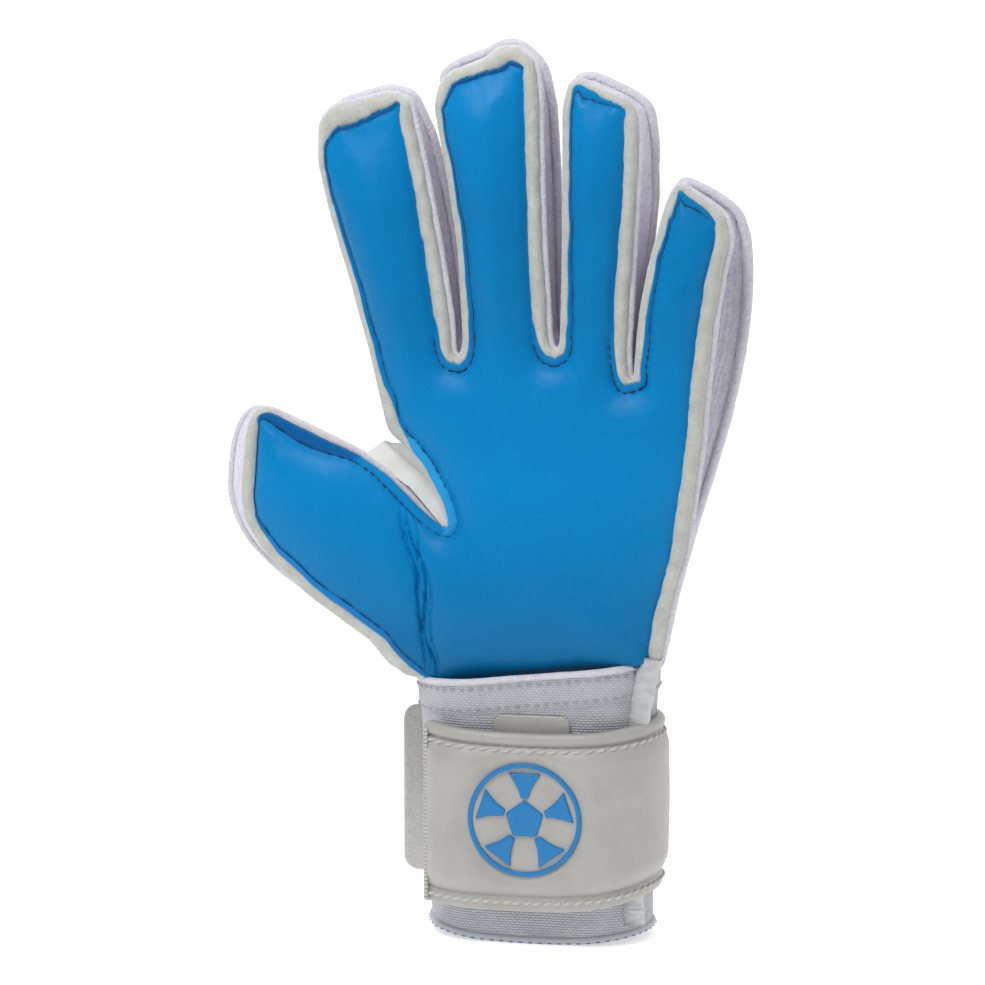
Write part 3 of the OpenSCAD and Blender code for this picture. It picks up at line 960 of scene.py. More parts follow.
# Where the latex is cut off across each fingertip, with a small ear at its corners.
TIP_LINES = {
    "index": [(-66.4, 258.4), (-65.0, 260.2), (-58.5, 262.6), (-51.5, 265.9), (-46, 268.2),
              (-44.4, 269.8)],
    "middle": [(-28.4, 271), (-26.7, 275.2), (-22, 277.2), (-9.9, 281.0), (-7.6, 282.6), (-4, 281.7),
               (-0.4, 277)],
    "ring": [(11.8, 273), (12.7, 275.4), (16.5, 276.4), (19.8, 273.6), (21.4, 271.4), (29.8, 267.8)],
    "little": [(45.2, 236.5), (47.8, 244.9), (52.2, 240.4), (56.7, 237), (61, 232.2)],
}


# How far the latex's corner may hang past a fingertip's cut, and its points' least spacing.
EAR = 3
CLOSEST = 0.45


def tip_level(x, line, ragged):
    """The height of a fingertip's cut at each x. Past the line's ends it goes EAR lower at most."""
    level = np.interp(x, line[:, 0], line[:, 1]) + ragged
    for end, after in ((line[0], line[1]), (line[-1], line[-2])):
        slope = (after[1] - end[1]) / (after[0] - end[0])
        past = (x - end[0]) * (after[0] - end[0]) < 0
        level = np.where(past, np.maximum(end[1] + slope * (x - end[0]), end[1] - EAR), level)
    return level


def cut_tips(points):
    """The latex outline cut straight across each fingertip, with a ragged edge."""
    cut = points.copy()
    place = np.c_[cut, 0 * cut[:, 0]]
    ragged = 1.5 * np.abs(rough(place, 1.9, 1.0)) + rough(place, 4, 0.4) - 0.4
    for k, f in enumerate(FINGERS):
        mine = (nearest_finger(cut) == k) & (cut[:, 1] > middle_z[f])
        level = tip_level(cut[:, 0], np.array(TIP_LINES[f]), ragged)
        cut[:, 1] = np.where(mine & (cut[:, 1] > level), level, cut[:, 1])
    kept = [cut[0]]
    for p in cut[1:]:
        if np.linalg.norm(p - kept[-1]) > CLOSEST:
            kept.append(p)
    return np.array(kept)


foam_kind = edge_kind(FOAM)
foam_place = np.c_[FOAM, 0 * FOAM[:, 0]]
lip_width = soften(1.0 * foam_kind[1] + 0.5 * foam_kind[2], 2.0)
lip_width += rough(foam_place, 7, 0.35) + rough(foam_place, 2.5, 0.15)
LIP, _ = inset(FOAM, 0.3 + np.clip(lip_width, 0, 2))
latex_ring, _ = inset(FOAM, latex_inset(FOAM))
LATEX_EDGE = cut_tips(resampled(latex_ring, 0.9))
LATEX_MARGIN = margins(LATEX_EDGE)
EDGE_X, EDGE_Z = LATEX_EDGE.T
LEFT, RIGHT, UP, DOWN = edge_kind(LATEX_EDGE)
AT_TIP = (UP > 0.35) & (EDGE_Z > 225)
SEAM, SEAM_AT = inset(LATEX_EDGE, LATEX_MARGIN)

PAD_RISE = 4.6
PAD_REACH = 4.6
SEAM_Y = FOAM_Y - 0.3
# Where the pads fall away towards the latex's edge: how far, and over what reach.
ROLLS = [
    (AT_TIP, 6.8, 10),
    ((RIGHT > 0.5) & (EDGE_Z > 100) & (EDGE_X > -50), 2.6, 6),
    ((DOWN > 0.3) & (EDGE_Z < 128) & (EDGE_X < -36), 5.0, 14),
    ((UP > 0.35) & (EDGE_Z > 130) & (EDGE_X < -58), 4.0, 10),
]


def crease_cloud():
    """Extra points along the thumb's crease."""
    z = np.arange(PALM_Z - 3, 149, 0.6)
    zz, off = np.meshgrid(z, np.arange(-4.4, 4.5, 0.35))
    x = np.interp(zz, CREASE_Z, CREASE_X) - off
    return np.c_[x.ravel(), zz.ravel()]


def roll_off(flat):
    """How far the pads fall away towards the latex's edge."""
    fall = 0
    for chosen, depth, reach in ROLLS:
        edge = LATEX_EDGE[chosen]
        away = [np.sqrt(np.sum((p[:, None] - edge[None]) ** 2, 2)).min(1)
                for p in np.array_split(flat, 20)]
        fall = fall + depth * np.exp(-np.concatenate(away) / reach)
    return fall


def past_seam(points):
    """How far points lie inside the seam: less than 0 on the latex's free margin."""
    away, _ = distance_to(SEAM, points)
    return np.where(inside(SEAM, points), away, -away)


def finger_rise(x, z):
    """How much higher the fingers' and the thumb's pads stand than the palm's edge."""
    return np.where(z < 176, 2.6 * unit((-50 - x) / 18), 3.0 * unit((z - 178) / 30))


def crotch_pulls(x, z):
    """Small bulges in the palm just under each gap between two fingers."""
    crotch = (UP > 0.8) & (np.abs(EDGE_Z - 186) < 16)
    pulls = 0 * x
    for middle in (-21.0, 9.0, 38.0):
        group = LATEX_EDGE[crotch & (np.abs(EDGE_X - middle) < 12)]
        if len(group):
            cx, cz = group[np.argmin(group[:, 1])]
            pulls = pulls + 0.9 * np.exp(-(((x - cx) / 3.6) ** 2) - ((z - cz + 8) / 4.5) ** 2)
    return pulls


def latex_front(flat, d, past):
    """The palm sheet's face, from its points and how far they lie inside its edge and its seam."""
    x, z = flat.T
    pad = PAD_RISE * (1 - np.exp(-np.clip(past, 0, None) / PAD_REACH))
    inner = unit(pad / PAD_RISE)
    flap = 0.5 * (1 - np.exp(-d / 0.5)) * (past < 0)
    front = SEAM_Y - 0.2 - pad - flap + 0.75 * bell(past, 0.55)
    front -= palm_crown(x, z) * (1 - np.exp(-d / 12))
    front += (crease_depth(x, z) + roll_off(flat) - crotch_pulls(x, z) - finger_rise(x, z)) * inner
    lumps = rough(at_depth(flat), 16, 0.35) + rough(at_depth(flat), 4, 0.08, 7)
    return front + lumps * unit(d / 4)


# The skins of the latex, and the parts of its margin that wear another than the first.
LATEX_SKINS = [LATEX, LATEX_DARK, LATEX_LIGHT, LATEX_PALE]
MARGIN_SKINS = [
    (1, (EDGE_X < -57) & (EDGE_Z < 172) & (EDGE_Z > 130) & (UP > 0.3)),
    (2, (EDGE_X < -34) & (EDGE_Z < 128) & (DOWN > 0.25)),
    (3, in_box(LATEX_EDGE, -52, -24, 130, 162) & (LEFT > 0.25) & (UP < 0.75)),
    (1, AT_TIP & (EDGE_X < 5)),
]


def latex_layer():
    """The blue palm sheet: a margin, a seam pressed into the foam, and crowned pads."""
    margin = LATEX_MARGIN
    rings = [0.35, np.maximum(margin - 0.45, 0.6), margin, margin + 0.5, margin + 1.4, margin + 2.8]
    flat, faces = fill(LATEX_EDGE, rings, 1.7, [crease_cloud()])
    d, near = distance_to(LATEX_EDGE, flat)
    past = past_seam(flat)
    verts, faces = closed_layer(flat, faces, latex_front(flat, d, past), FOAM_Y + 0.6)
    kind = np.zeros(len(LATEX_EDGE), int)
    for number, chosen in MARGIN_SKINS:
        kind[chosen] = number
    inmost = np.array([past[[i % len(flat) for i in f]].max() for f in faces])
    near_of = np.array([near[f[0] % len(flat)] for f in faces])
    slots = np.where(inmost < 0.3, kind[near_of], 0)
    return spread("latex", verts, faces, LATEX_SKINS, "latex", "latex", slots)


LIP_WIDTH = 2.4


def foam_layer():
    """The foam under the latex, whose soft lip shows all round it."""
    under = [inset(LATEX_EDGE, depth)[0] for depth in (0.15, 0.6, 1.3)]
    flat, faces = fill(LIP, [0.25, 0.7, 1.3, 2.1], 3.4, under)
    d, _ = distance_to(LIP, flat)
    covered, _ = distance_to(LATEX_EDGE, flat)
    covered = np.where(inside(LATEX_EDGE, flat), covered, 0)
    front = FOAM_Y - 0.5 + 2.6 * rounding(d, LIP_WIDTH) + 2.2 * unit((covered - 0.1) / 0.45)
    lumps = rough(at_depth(flat), 3.0, 0.35) + rough(at_depth(flat), 9, 0.4, 6)
    front -= lumps * np.exp(-d / 5) * (covered < 0.1)
    verts, faces = closed_layer(flat, faces, front, ROOM_Y)
    verts[:, [0, 2]] += 0.12 * np.c_[rough(verts, 2.2, 1, 3), rough(verts, 2.2, 1, 9)]
    return spread("foam", verts, faces, [FOAM_SKIN], "foam", "foam")


# The back panel comes forward over each fingertip.
DROP = {f: box_mm(f + "_tip_back") for f in FINGERS}


def back_inner(points):
    """The back panel's inner face over (x, z) points."""
    z = points[:, 1]
    slope = (HEEL_Y - STALL_Y) / (LEVEL_Z - PALM_Z)
    y = STALL_Y + np.clip(LEVEL_Z - z, 0, None) * slope
    finger = nearest_finger(points)
    for k, f in enumerate(FINGERS):
        low, high = DROP[f]
        share = unit((z - low[2]) / (high[2] - low[2]))
        y = np.where((finger == k) & (z > low[2] - 6), y - (STALL_Y - low[1]) * share ** 1.3, y)
    return y


CHEVRON_PITCH = 21
CHEVRON_LOW = 8
CHEVRON_X = 6
CHEVRON_SLOPE = 0.45


def on_hand(x, z):
    """Which points of the back lie where it is quilted."""
    return (z < LEVEL_Z - 8) & (x > -46)


def chevron_depth(x, z):
    """How deep the back is quilted, from 0 to 1."""
    phase = (z - CHEVRON_SLOPE * np.abs(x - CHEVRON_X) - CHEVRON_LOW) / CHEVRON_PITCH
    return on_hand(x, z) * bell(np.abs(phase - np.round(phase)) * CHEVRON_PITCH, 1.5)


def bend_lines(x, z):
    """Where the back is scored across each finger and the thumb, from 0 to 1."""
    finger = nearest_finger(np.c_[x, z])
    lines = np.zeros(len(x))
    for k, f in enumerate(FINGERS):
        mine = finger == k
        middle = x[mine].mean() if mine.any() else 0
        for level in (knuckle_z[f] + 6, middle_z[f], middle_z[f] + 20):
            level = level + 1.2 * np.cos((x - middle) / 4)
            lines += mine * bell(z - level, 1.3) * (z > LEVEL_Z - 4)
    return lines + ((z < 180) & (x < -48)) * bell(past_thumb_joint(x, z), 1.4)


BACK_EDGE = 2.4
BACK_SEAM = 4.6


def back_outer(flat, d):
    """The back panel's outer face, from (x, z) points and their distance to its edge."""
    x, z = flat.T
    puff = 1.5 * (1 - np.exp(-np.clip(d - BACK_SEAM, 0, None) / 2.5))
    outer = back_inner(flat) + BACK_T - 0.6 - 2.3 * rounding(d, BACK_EDGE) + puff
    outer -= (1.5 * chevron_depth(x, z) + 1.3 * bend_lines(x, z)) * unit((d - 3) / 3)
    outer -= 0.8 * bell(d - BACK_SEAM, 0.7)
    return outer + rough(at_depth(flat), 9, 0.3)


def back_layer():
    """The padded back of the hand, quilted in chevrons and scored where the fingers bend."""
    flat, faces = fill(BACK, [0.3, 0.9, 1.7, 2.8, 4.0, 4.6, 5.2], 1.7)
    d, _ = distance_to(BACK, flat)
    inner = back_inner(flat) + 0.5 * (2.3 * rounding(d, BACK_EDGE))
    verts, faces = closed_layer(flat, faces, inner, back_outer(flat, d))
    return spread("back", verts, faces, [BACK_SKIN], "back", "back")


def back_stitches():
    """Grey stitches along the back's edge seam and its chevrons."""
    lines = [inset(BACK, BACK_SEAM)[0]]
    for count in range(2, 9):
        for side in (-1, 1):
            x = CHEVRON_X + side * np.arange(0, 60, 1.0)
            z = CHEVRON_LOW + CHEVRON_PITCH * count + CHEVRON_SLOPE * np.abs(x - CHEVRON_X)
            line = np.c_[x, z]
            keep = inside(BACK, line) & (distance_to(BACK, line)[0] > 5) & on_hand(x, z)
            stop = int(np.argmin(keep)) if not keep.all() else len(keep)
            if stop > 6:
                lines.append(line[:stop])
    parts = []
    for line in lines:
        height = back_outer(line, distance_to(BACK, line)[0])
        parts.append(stitches(at_depth(line, height - 0.1), 2.6, 0.7, 0.3, Y))
    return spread("back_stitches", *merged(parts), [GREY_THREAD], "back")


def gusset_fold(x, z, outer):
    """How far the side walls are drawn in: deepest on the little finger's outer side."""
    fold = np.where(x < -62, -1.6, np.where(x > 50, 6.2, 1.0))
    fold = soften(np.where(z > 170, np.maximum(fold, 1.0), fold), 5)
    wrinkle = rough(at_depth(FOAM), 7, 0.5) * (1 + 3.5 * outer)
    return fold + 0.5 * wrinkle


def gusset_profile():
    """The side walls' section at each outline point: their outer face and then their inner one."""
    foam_in = FOAM - normals_of(FOAM) * 1.3
    back_in = BACK - normals_of(BACK) * 1.5
    back_y = back_inner(BACK) + 0.8
    out = soften(normals_of(FOAM) + normals_of(BACK), 1.5)
    out /= np.linalg.norm(out, axis=1)[:, None]
    outer = soften(1.0 * (FOAM[:, 0] > 50), 5)
    fold = gusset_fold(FOAM[:, 0], FOAM[:, 1], outer)
    rows = np.linspace(0, 1, 8)
    rounds, valleys = 0.9 * np.sin(math.pi * rows) ** 0.8, 1 - np.abs(2 * rows - 1) ** 1.2
    shells = []
    for thickness in (0.0, 1.0):
        shell = []
        for t, rounded, valley in zip(rows, rounds, valleys):
            drawn_in = (rounded + (valley - rounded) * outer) * fold
            at = foam_in * (1 - t) + back_in * t - out * (drawn_in[:, None] + thickness)
            shell.append(at_depth(at, (ROOM_Y - 0.4) * (1 - t) + back_y * t))
        shells.append(shell)
    return np.stack(shells[0] + shells[1][::-1], 1)[RUN]


def gusset_wall():
    """The side walls of the stalls, drawn in between the palm and the back."""
    profile = gusset_profile()
    n, m = profile.shape[:2]
    verts = profile.reshape(-1, 3)
    faces = face_outwards(verts, grid_faces(n, m, False))
    # The little finger's outer side wall wears the darker gusset copy: painted shade.
    painted_shade_side = (normals_of(FOAM)[:, 0] > 0.3) & (FOAM[:, 0] > 42)
    slots = [*np.repeat(painted_shade_side[RUN][:-1].astype(int), m), 0, 0]
    return spread("gusset", verts, faces, [GUSSET, GUSSET_PAINTED_SHADE], "gusset", "gusset", slots)


def piping(name, outline, y, out_by, radius, tall, slot):
    """A fuzzy terry roll along an outline."""
    turn = circle(12)
    base, out = at_depth(outline, y)[RUN], at_depth(normals_of(outline))[RUN]
    lumps = np.array([rough(base, 1.6, 0.16, k * 3.1) for k in range(12)]).T
    offs = out_by + (radius + lumps) * np.cos(turn)
    verts, faces = sweep(base, out, Y, offs, (tall + lumps) * np.sin(turn), loop=False)
    return spread(name, verts, faces, [TERRY], slot)


def seam_kind():
    """What shows of the seam at each of its points: nothing, a drawn-in thread (1) or stitches (2)."""
    margin, at_tip = LATEX_MARGIN[SEAM_AT], AT_TIP[SEAM_AT]
    shown = (soften(RIGHT, 1.5)[SEAM_AT] < 0.5) | (margin > 1.3)
    shown &= ~at_tip | (margin > 1.6)
    shown &= SEAM[:, 1] > PALM_Z + 1
    stitched = (np.abs(SEAM[:, 1] - 182) < 14) & (np.abs(SEAM[:, 0]) < 45)
    stitched |= in_box(SEAM, -58, -22, 126, 165)
    return np.where(shown, 1 + stitched, 0)


def seam_thread():
    """The navy seam: a drawn-in thread along the left edges, and stitches round each gap."""
    kind = seam_kind()
    parts = []
    for run in np.split(np.arange(len(SEAM)), np.flatnonzero(np.diff(kind)) + 1):
        if kind[run[0]] == 0 or len(run) < 5:
            continue
        stitched = kind[run[0]] == 2
        path = at_depth(SEAM[np.r_[run, (run[-1] + 1) % len(SEAM)]], SEAM_Y + 0.12)
        parts.append(stitches(path, 2.2, 0.5, 0.3) if stitched else tube(path, 0.19, 6))
    return spread("seam_thread", *merged(parts), [NAVY], "latex")


latex_layer()
foam = foam_layer()
back = back_layer()
back_stitches()
gusset_wall()
piping("palm_piping", FOAM, ROOM_Y - 0.5, -1.1, 1.35, 1.35, "gusset")
# Between the ring and the little finger the back's edging is drawn in, so that they pass each other.
tight = soften(1.0 * in_box(BACK, 30, 52, 188, 250), 5)
piping("back_edging", BACK, back_inner(BACK) + 1.6, (-0.9 - 1.1 * tight)[RUN, None], 1.6, 2.3, "back")
seam_thread()


WEB_AWAY = np.array([-0.79, -0.61])


def web_front():
    """The web's front face, row by row up the notch, and its count of rows and columns."""
    low, _ = box_mm("thumb_web")
    share = np.linspace(0, 1, 22)
    z = NOTCH_Z[0] + 1.5 + share * 25.5
    verts, columns = [], np.linspace(-1, 1, 13)
    for height, middle, s in zip(z, np.interp(z, NOTCH_Z, NOTCH_X), share):
        half = 1.8 + 5.8 * s
        for t in columns:
            inner = max(0, -t) * s ** 2
            at = np.array([middle, height]) + WEB_AWAY * half * t * (1 + 0.9 * inner)
            at[1] -= 8.0 * inner
            y = low[1] - 2.5 + 4.5 * (1 - abs(t)) ** 0.8 * (0.4 + s) + 1.5 * s
            verts.append((at[0], y, at[1]))
    return np.array(verts), len(share), len(columns)


def thumb_web():
    """The white fabric between the thumb and the index finger, folded along its middle."""
    front, rows, columns = web_front()
    faces = grid_faces(rows, columns, False, False)
    verts, faces = merged([(front, turned_over(faces)), (front + Y * 1.2, faces)])
    piece = mesh_object("thumb_web_fabric", verts, faces, [WEB])
    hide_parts("thumb_web")
    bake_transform(piece)


thumb_web()


# ---- The wrist ----

CUFF_W, CUFF_D, _ = box_mm("cuff_elastic")[1]


def wrist_piece(name, mesh, skin, body=None, stands_for=(), uv=None):
    """A piece that rides on a body, or is baked where it stands if none is given."""
    piece = mesh_object(name, *mesh, [skin], uv=uv)
    if body:
        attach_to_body(piece, body)
    else:
        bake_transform(piece)
    if stands_for:
        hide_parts(*stands_for)
    return piece


def stadium(half_w, half_d, centre_y, count):
    """Points round a stadium from the middle of its back, with outward directions and arc lengths."""
    straight = half_w - half_d
    turn = np.linspace(0, math.pi, 41)
    right = np.c_[straight + half_d * np.sin(turn), half_d * np.cos(turn)]
    line = np.concatenate([[[0, half_d]], right, -right, [[0, half_d]]])
    points = walk(line, count)
    out = points - np.c_[np.clip(points[:, 0], -straight, straight), 0 * points[:, 0]]
    out /= np.linalg.norm(out, axis=1)[:, None]
    base = np.c_[points[:, 0], points[:, 1] + centre_y, 0 * points[:, 0]]
    return base, np.c_[out, 0 * out[:, 0]], np.linspace(0, total_length(line), count + 1)[:-1]


def wrist_top(x):
    """The elastic's upper edge, which is higher on the little finger's side."""
    return 84.8 + 0.107 * np.clip(x, -37, 37)


def front_drop(base):
    """How much lower the cuff hangs in the middle of its front."""
    return 3.0 * unit(-base[:, 1] / CUFF_D) ** 0.7 * (1 - (base[:, 0] / (CUFF_W + 3)) ** 2)


def row_line(base, out, offs, heights, level, sunk):
    """A line round the wrist at a level, sunk a little into the wall that offs and heights describe."""
    nearest = [int(np.argmin(np.abs(own - at))) for own, at in zip(heights, level)]
    line = base + out * (offs[np.arange(len(base)), nearest] - sunk)[:, None]
    line[:, 2] = level
    return line


def elastic_wall(base):
    """The elastic's outer face: how far out and how high each of its points is, and its top."""
    share = np.r_[np.linspace(0, 0.86, 44), np.linspace(0.87, 1, 14)]
    top = wrist_top(base[:, 0])[:, None]
    low = 1.0 - front_drop(base)[:, None]
    heights = low + (top - low) * share
    flare = 1.6 * share ** 2 + 2.6 * unit(-base[:, :1] / 40) * share ** 1.5
    offs = flare + 0.55 * (share > 0.88) - 0.2
    lumps = rough_rows(base, heights, 14, 0.5)
    return offs + lumps * np.sin(math.pi * share) ** 0.5, heights, top[:, 0]


def elastic():
    """The knitted cuff: one tube with a doubled, rolled upper edge, and its stitch rows."""
    base, out, arc = stadium(CUFF_W, CUFF_D, 0, 190)
    offs, heights, top = elastic_wall(base)
    roll = np.linspace(0, math.pi, 7)[1:]
    roll_o = offs[:, -1:] - 0.9 + 0.9 * np.cos(roll) + 0.35
    roll_h = heights[:, -1:] + 0.9 * np.sin(roll)
    profile = np.c_[heights, roll_h, heights[:, ::-1] - 0.2]
    mesh = sweep(base, out, Z, np.c_[offs, roll_o, offs[:, ::-1] - 1.6], profile)
    uv = np.stack(np.broadcast_arrays(arc[:, None] * MM, profile * MM), 2).reshape(-1, 2)
    wrist_piece("elastic_cuff", mesh, ELASTIC, None, ["cuff_elastic", "wrist_band"], uv)
    for name, below in (("upper", 1.7), ("lower", 8.4)):
        path = row_line(base, out, offs, heights, top - below, 0.15)
        mesh = long_stitches(np.r_[path, path[:1]], 2.4, 0.8, 0.34)
        wrist_piece("elastic_stitches_" + name, mesh, GREY_THREAD)


def wrist_roll():
    """The soft rolled edge that finishes the elastic's top."""
    base, out, _ = stadium(CUFF_W, CUFF_D, 0, 200)
    path = base + out * (1.5 + 2.6 * unit(-base[:, :1] / 40))
    path[:, 2] = wrist_top(base[:, 0]) + 0.5
    radius = 1.15 * (1 + 0.12 * rough(path, 5, 1.0))
    wrist_piece("elastic_roll", tube(path, radius, 10, loop=True), TERRY)


def long_stitches(path, length, gap, radius, centre_y=0.0, slant=0.0):
    """Stitches round the wrist, each lifted away from the wrist's middle."""
    parts = []
    for line in stitch_lines(path, length, gap):
        x, _, z = middle = line[STITCH_POINTS // 2]
        lift = middle - np.array([np.clip(x, -15, 15), centre_y, z])
        lift /= np.linalg.norm(lift)
        line[:, 2] += slant * np.linspace(-1, 1, STITCH_POINTS)
        parts.append(stitches(line, length * 0.98, 1, radius, lift))
    return merged(parts)


def hem():
    """The overlocked lower hem: a roll with blue thread round it."""
    low, high = box_mm("cuff_hem")
    base, out, _ = stadium(high[0] - 0.8, high[1] - 0.8, 0, 200)
    base[:, 2] = 0.5 * (low[2] + high[2]) - front_drop(base)
    turn = circle(12)
    roll = sweep(base, out, Z, 1.1 * np.cos(turn), 1.25 * np.sin(turn))
    wrist_piece("hem_roll", roll, ELASTIC, "cuff", ["cuff_hem"])
    path = base + out * 1.1
    path[:, 2] = low[2] + 0.6 - front_drop(base)
    thread = long_stitches(np.r_[path, path[:1]], 1.4, 1.8, 0.2)
    wrist_piece("hem_overlock", thread, BLUE_THREAD, "cuff")


def slit_tube():
    """The wrinkled satin tube that binds the slit, leaning towards the little finger at its top."""
    low, high = box_mm("slit_binding")
    x = 0.5 * (low[0] + high[0])
    z = np.linspace(3.5, 92, 90)
    lean = unit((z - 60) / 32) ** 1.3
    y = -CUFF_D * np.sqrt(unit(1 - ((x - 16) / 22) ** 2)) - 1.6 - 1.4 * lean
    wrinkles = 1 + 0.04 * np.sin(z * 0.9) + 0.03 * np.sin(z * 2.1)
    radius = 1.12 * 0.5 * (high[0] - low[0]) * wrinkles
    verts, faces = tube(np.c_[x - 1.8 + 5.5 * lean, y, z], radius, 16)
    verts[:, 0] += rough(verts, 9, 0.7, 5)
    wrist_piece("slit_tube", (verts, faces), SATIN, None,
                ["slit_binding", "wrist_binding"])


# ---- The strap ----

STRAP_LOW, STRAP_HIGH = box_mm("strap_front")
SIDE_LOW, SIDE_HIGH = box_mm("strap_side")
STRAP_FRONT = STRAP_LOW[1]
STRAP_BACK = SIDE_HIGH[1]
STRAP_W = max(STRAP_HIGH[0], SIDE_HIGH[0])
STRAP_D = 0.5 * (STRAP_BACK - STRAP_FRONT)
STRAP_CY = 0.5 * (STRAP_BACK + STRAP_FRONT)
EMBLEM_LOW, EMBLEM_HIGH = box_mm("strap_emblem")
EMBLEM = 0.5 * (EMBLEM_LOW + EMBLEM_HIGH)
EMBLEM_R = 0.5 * (EMBLEM_HIGH[0] - EMBLEM_LOW[0])
# The angles of the badge's five corners and spokes.
FIVE = math.pi / 2 + np.arange(5) * 2 * math.pi / 5


def strap_span(x):
    """The strap's lower and upper edges round the wrist: it smiles, and rises at its right side."""
    side = unit(np.abs(x) / STRAP_W) ** 2
    right = unit(x / STRAP_W) ** 2
    return 9.5 + 1.5 * side + 4.0 * right, 68.0 + 3.2 * side


STRAP_COUNT = 900
STRAP_START_X = -34.0


def strap_path():
    """The strap's outer line from its left end, round the front and the right side, to the back."""
    base, out, _ = stadium(STRAP_W, STRAP_D, STRAP_CY, STRAP_COUNT)
    base, out = base[::-1], out[::-1]
    behind = base[:, 1] > STRAP_CY
    start = int(np.argmin(np.hypot(base[:, 0] - STRAP_START_X, 20 * behind)))
    base, out = np.roll(base, -start, 0), np.roll(out, -start, 0)
    if base[60][0] < base[0][0]:
        base, out = np.roll(base[::-1], 1, 0), np.roll(out[::-1], 1, 0)
    stop = int(np.argmax((base[:, 1] > STRAP_CY) & (base[:, 0] < SIDE_LOW[0] + 0.4)))
    base[:, 0] -= 3.3 * unit(base[:, 0] / STRAP_W) ** 2
    return base[:stop:4], out[:stop:4]


# Where the strap's face has points between its lower and its upper edge.
STRAP_ROWS = np.r_[0, 0.004, 0.012, np.linspace(0.03, 0.085, 5), 0.092, 0.1,
                   np.linspace(0.11, 0.9, 60), 0.908, 0.916, 0.924, 0.934,
                   np.linspace(0.945, 0.985, 5), 0.993, 0.998]


def strap_crown(base, out, h, panel):
    """How far the padded panel stands out. It is dished round the badge and ends flat."""
    length = lengths_along(base)[:, None]
    ends = np.sin(unit(length / 7) * unit((length[-1] - length) / 7) * math.pi / 2)
    crown = 2.7 * panel * ends * (1 - 0.25 * unit(out[:, :1]) ** 2)
    from_badge = np.hypot(base[:, :1] - EMBLEM[0], h - EMBLEM[2])
    dish = 1 / (1 + np.exp(-(from_badge - EMBLEM_R - 2.4) / 0.9))
    return np.where(base[:, 1:2] < STRAP_CY, crown * dish, crown)


def strap_face(base, out, bottom, top):
    """The strap's outer face: how far out and how high each of its points is."""
    h = bottom[:, None] + (top - bottom)[:, None] * STRAP_ROWS
    from_low, from_top = h - bottom[:, None], top[:, None] - h
    edge = unit(from_low / 1.2) ** 0.5 * unit(from_top / 1.4) ** 0.5
    panel = np.sin(unit((from_low - 5.6) / 6) * unit((from_top - 4.6) / 6) * math.pi / 2)
    groove = -0.55 * bell(from_low - 5.3, 0.55)
    band = 0.5 * (from_top < 3.6) - 0.6 * bell(from_top - 4.1, 0.6)
    offs = -1.0 + edge + strap_crown(base, out, h, panel) + groove + band * edge
    return offs + rough_rows(base, h, 17, 0.35) * panel, h


def strap():
    """The padded strap: bound top edge, crowned panel, recess for the badge, flat lower margin."""
    base, out = strap_path()
    bottom, top = strap_span(base[:, 0])
    offs, h = strap_face(base, out, bottom, top)
    back = np.full(offs[:, ::-8].shape, -3.4)
    mesh = sweep(base, out, Z, np.c_[offs, back], np.c_[h, h[:, ::-8]], loop=False)
    piece = wrist_piece("strap_panel", mesh, LEATHER, "cuff",
                        ["strap_front", "strap_top_binding", "strap_side"])
    for name, level, length in (("top", top - 5.4, 3.5), ("bottom", bottom + 3.1, 3.0)):
        path = row_line(base, out, offs, h, level, 0.4)
        thread = long_stitches(path[1:-1], length, 0.35, 0.62, STRAP_CY, 0.45)
        wrist_piece("strap_stitches_" + name, thread, WHITE_THREAD, "cuff")
    overlock(base[0], out[0], bottom[0], top[0])
    return piece


def overlock(base, out, bottom, top):
    """The thick thread that wraps the strap's left end."""
    along = np.cross(out, Z)
    along = -along if along[0] > 0 else along
    turn = np.linspace(-0.6, math.pi + 0.4, 9)
    parts = []
    for z in np.arange(bottom + 1.0, top - 1.5, 1.3):
        line = [base + along * (1.4 * math.sin(t) - 0.8) + out * (2.0 * math.cos(t) - 1.3)
                + Z * (z + 0.8 * t / math.pi) for t in turn]
        parts.append(tube(line, 0.7, 7))
    wrist_piece("strap_overlock", merged(parts), WHITE_THREAD, "cuff")


def squarish(values):
    """A sine or a cosine that is flatter on its top."""
    return np.sign(values) * np.abs(values) ** 0.6


def emblem():
    """A plain raised badge: a ring round a pentagon with five spokes."""
    face_y = EMBLEM_LOW[1]
    turn, soft = circle(120), circle(16)
    out = np.c_[np.cos(turn), 0 * turn, np.sin(turn)]
    base = np.array([EMBLEM[0], 0, EMBLEM[2]]) + out * (EMBLEM_R - 0.85)
    heights = face_y + 0.5 + 0.75 * squarish(np.sin(soft))
    parts = [sweep(base, out, Y, 0.8 * squarish(np.cos(soft)), heights)]
    parts += [spoke(angle, face_y) for angle in FIVE]
    corners = np.c_[EMBLEM[0] + 6.6 * np.cos(FIVE), EMBLEM[2] + 6.6 * np.sin(FIVE)]
    parts.append(rounded_panel(corners, face_y))
    parts = [(v, face_outwards(v - v.mean(0), f)) for v, f in parts]
    wrist_piece("strap_badge", merged(parts), PAINT, "cuff", ["strap_emblem"])


def spoke(angle, face_y):
    """One curved arm between the pentagon and the ring."""
    along = np.array([math.cos(angle), math.sin(angle)])
    side = np.array([-along[1], along[0]])
    centre = np.array([EMBLEM[0], EMBLEM[2]])
    r = np.linspace(6.9, EMBLEM_R - 3.4, 9)[:, None]
    half = 1.3 + 4.2 * ((r - 6.9) / (EMBLEM_R - 10.3)) ** 1.6
    near, far = centre + along * r - side * half, centre + along * r + side * half
    return rounded_panel(np.concatenate([near, far[::-1]]), face_y)


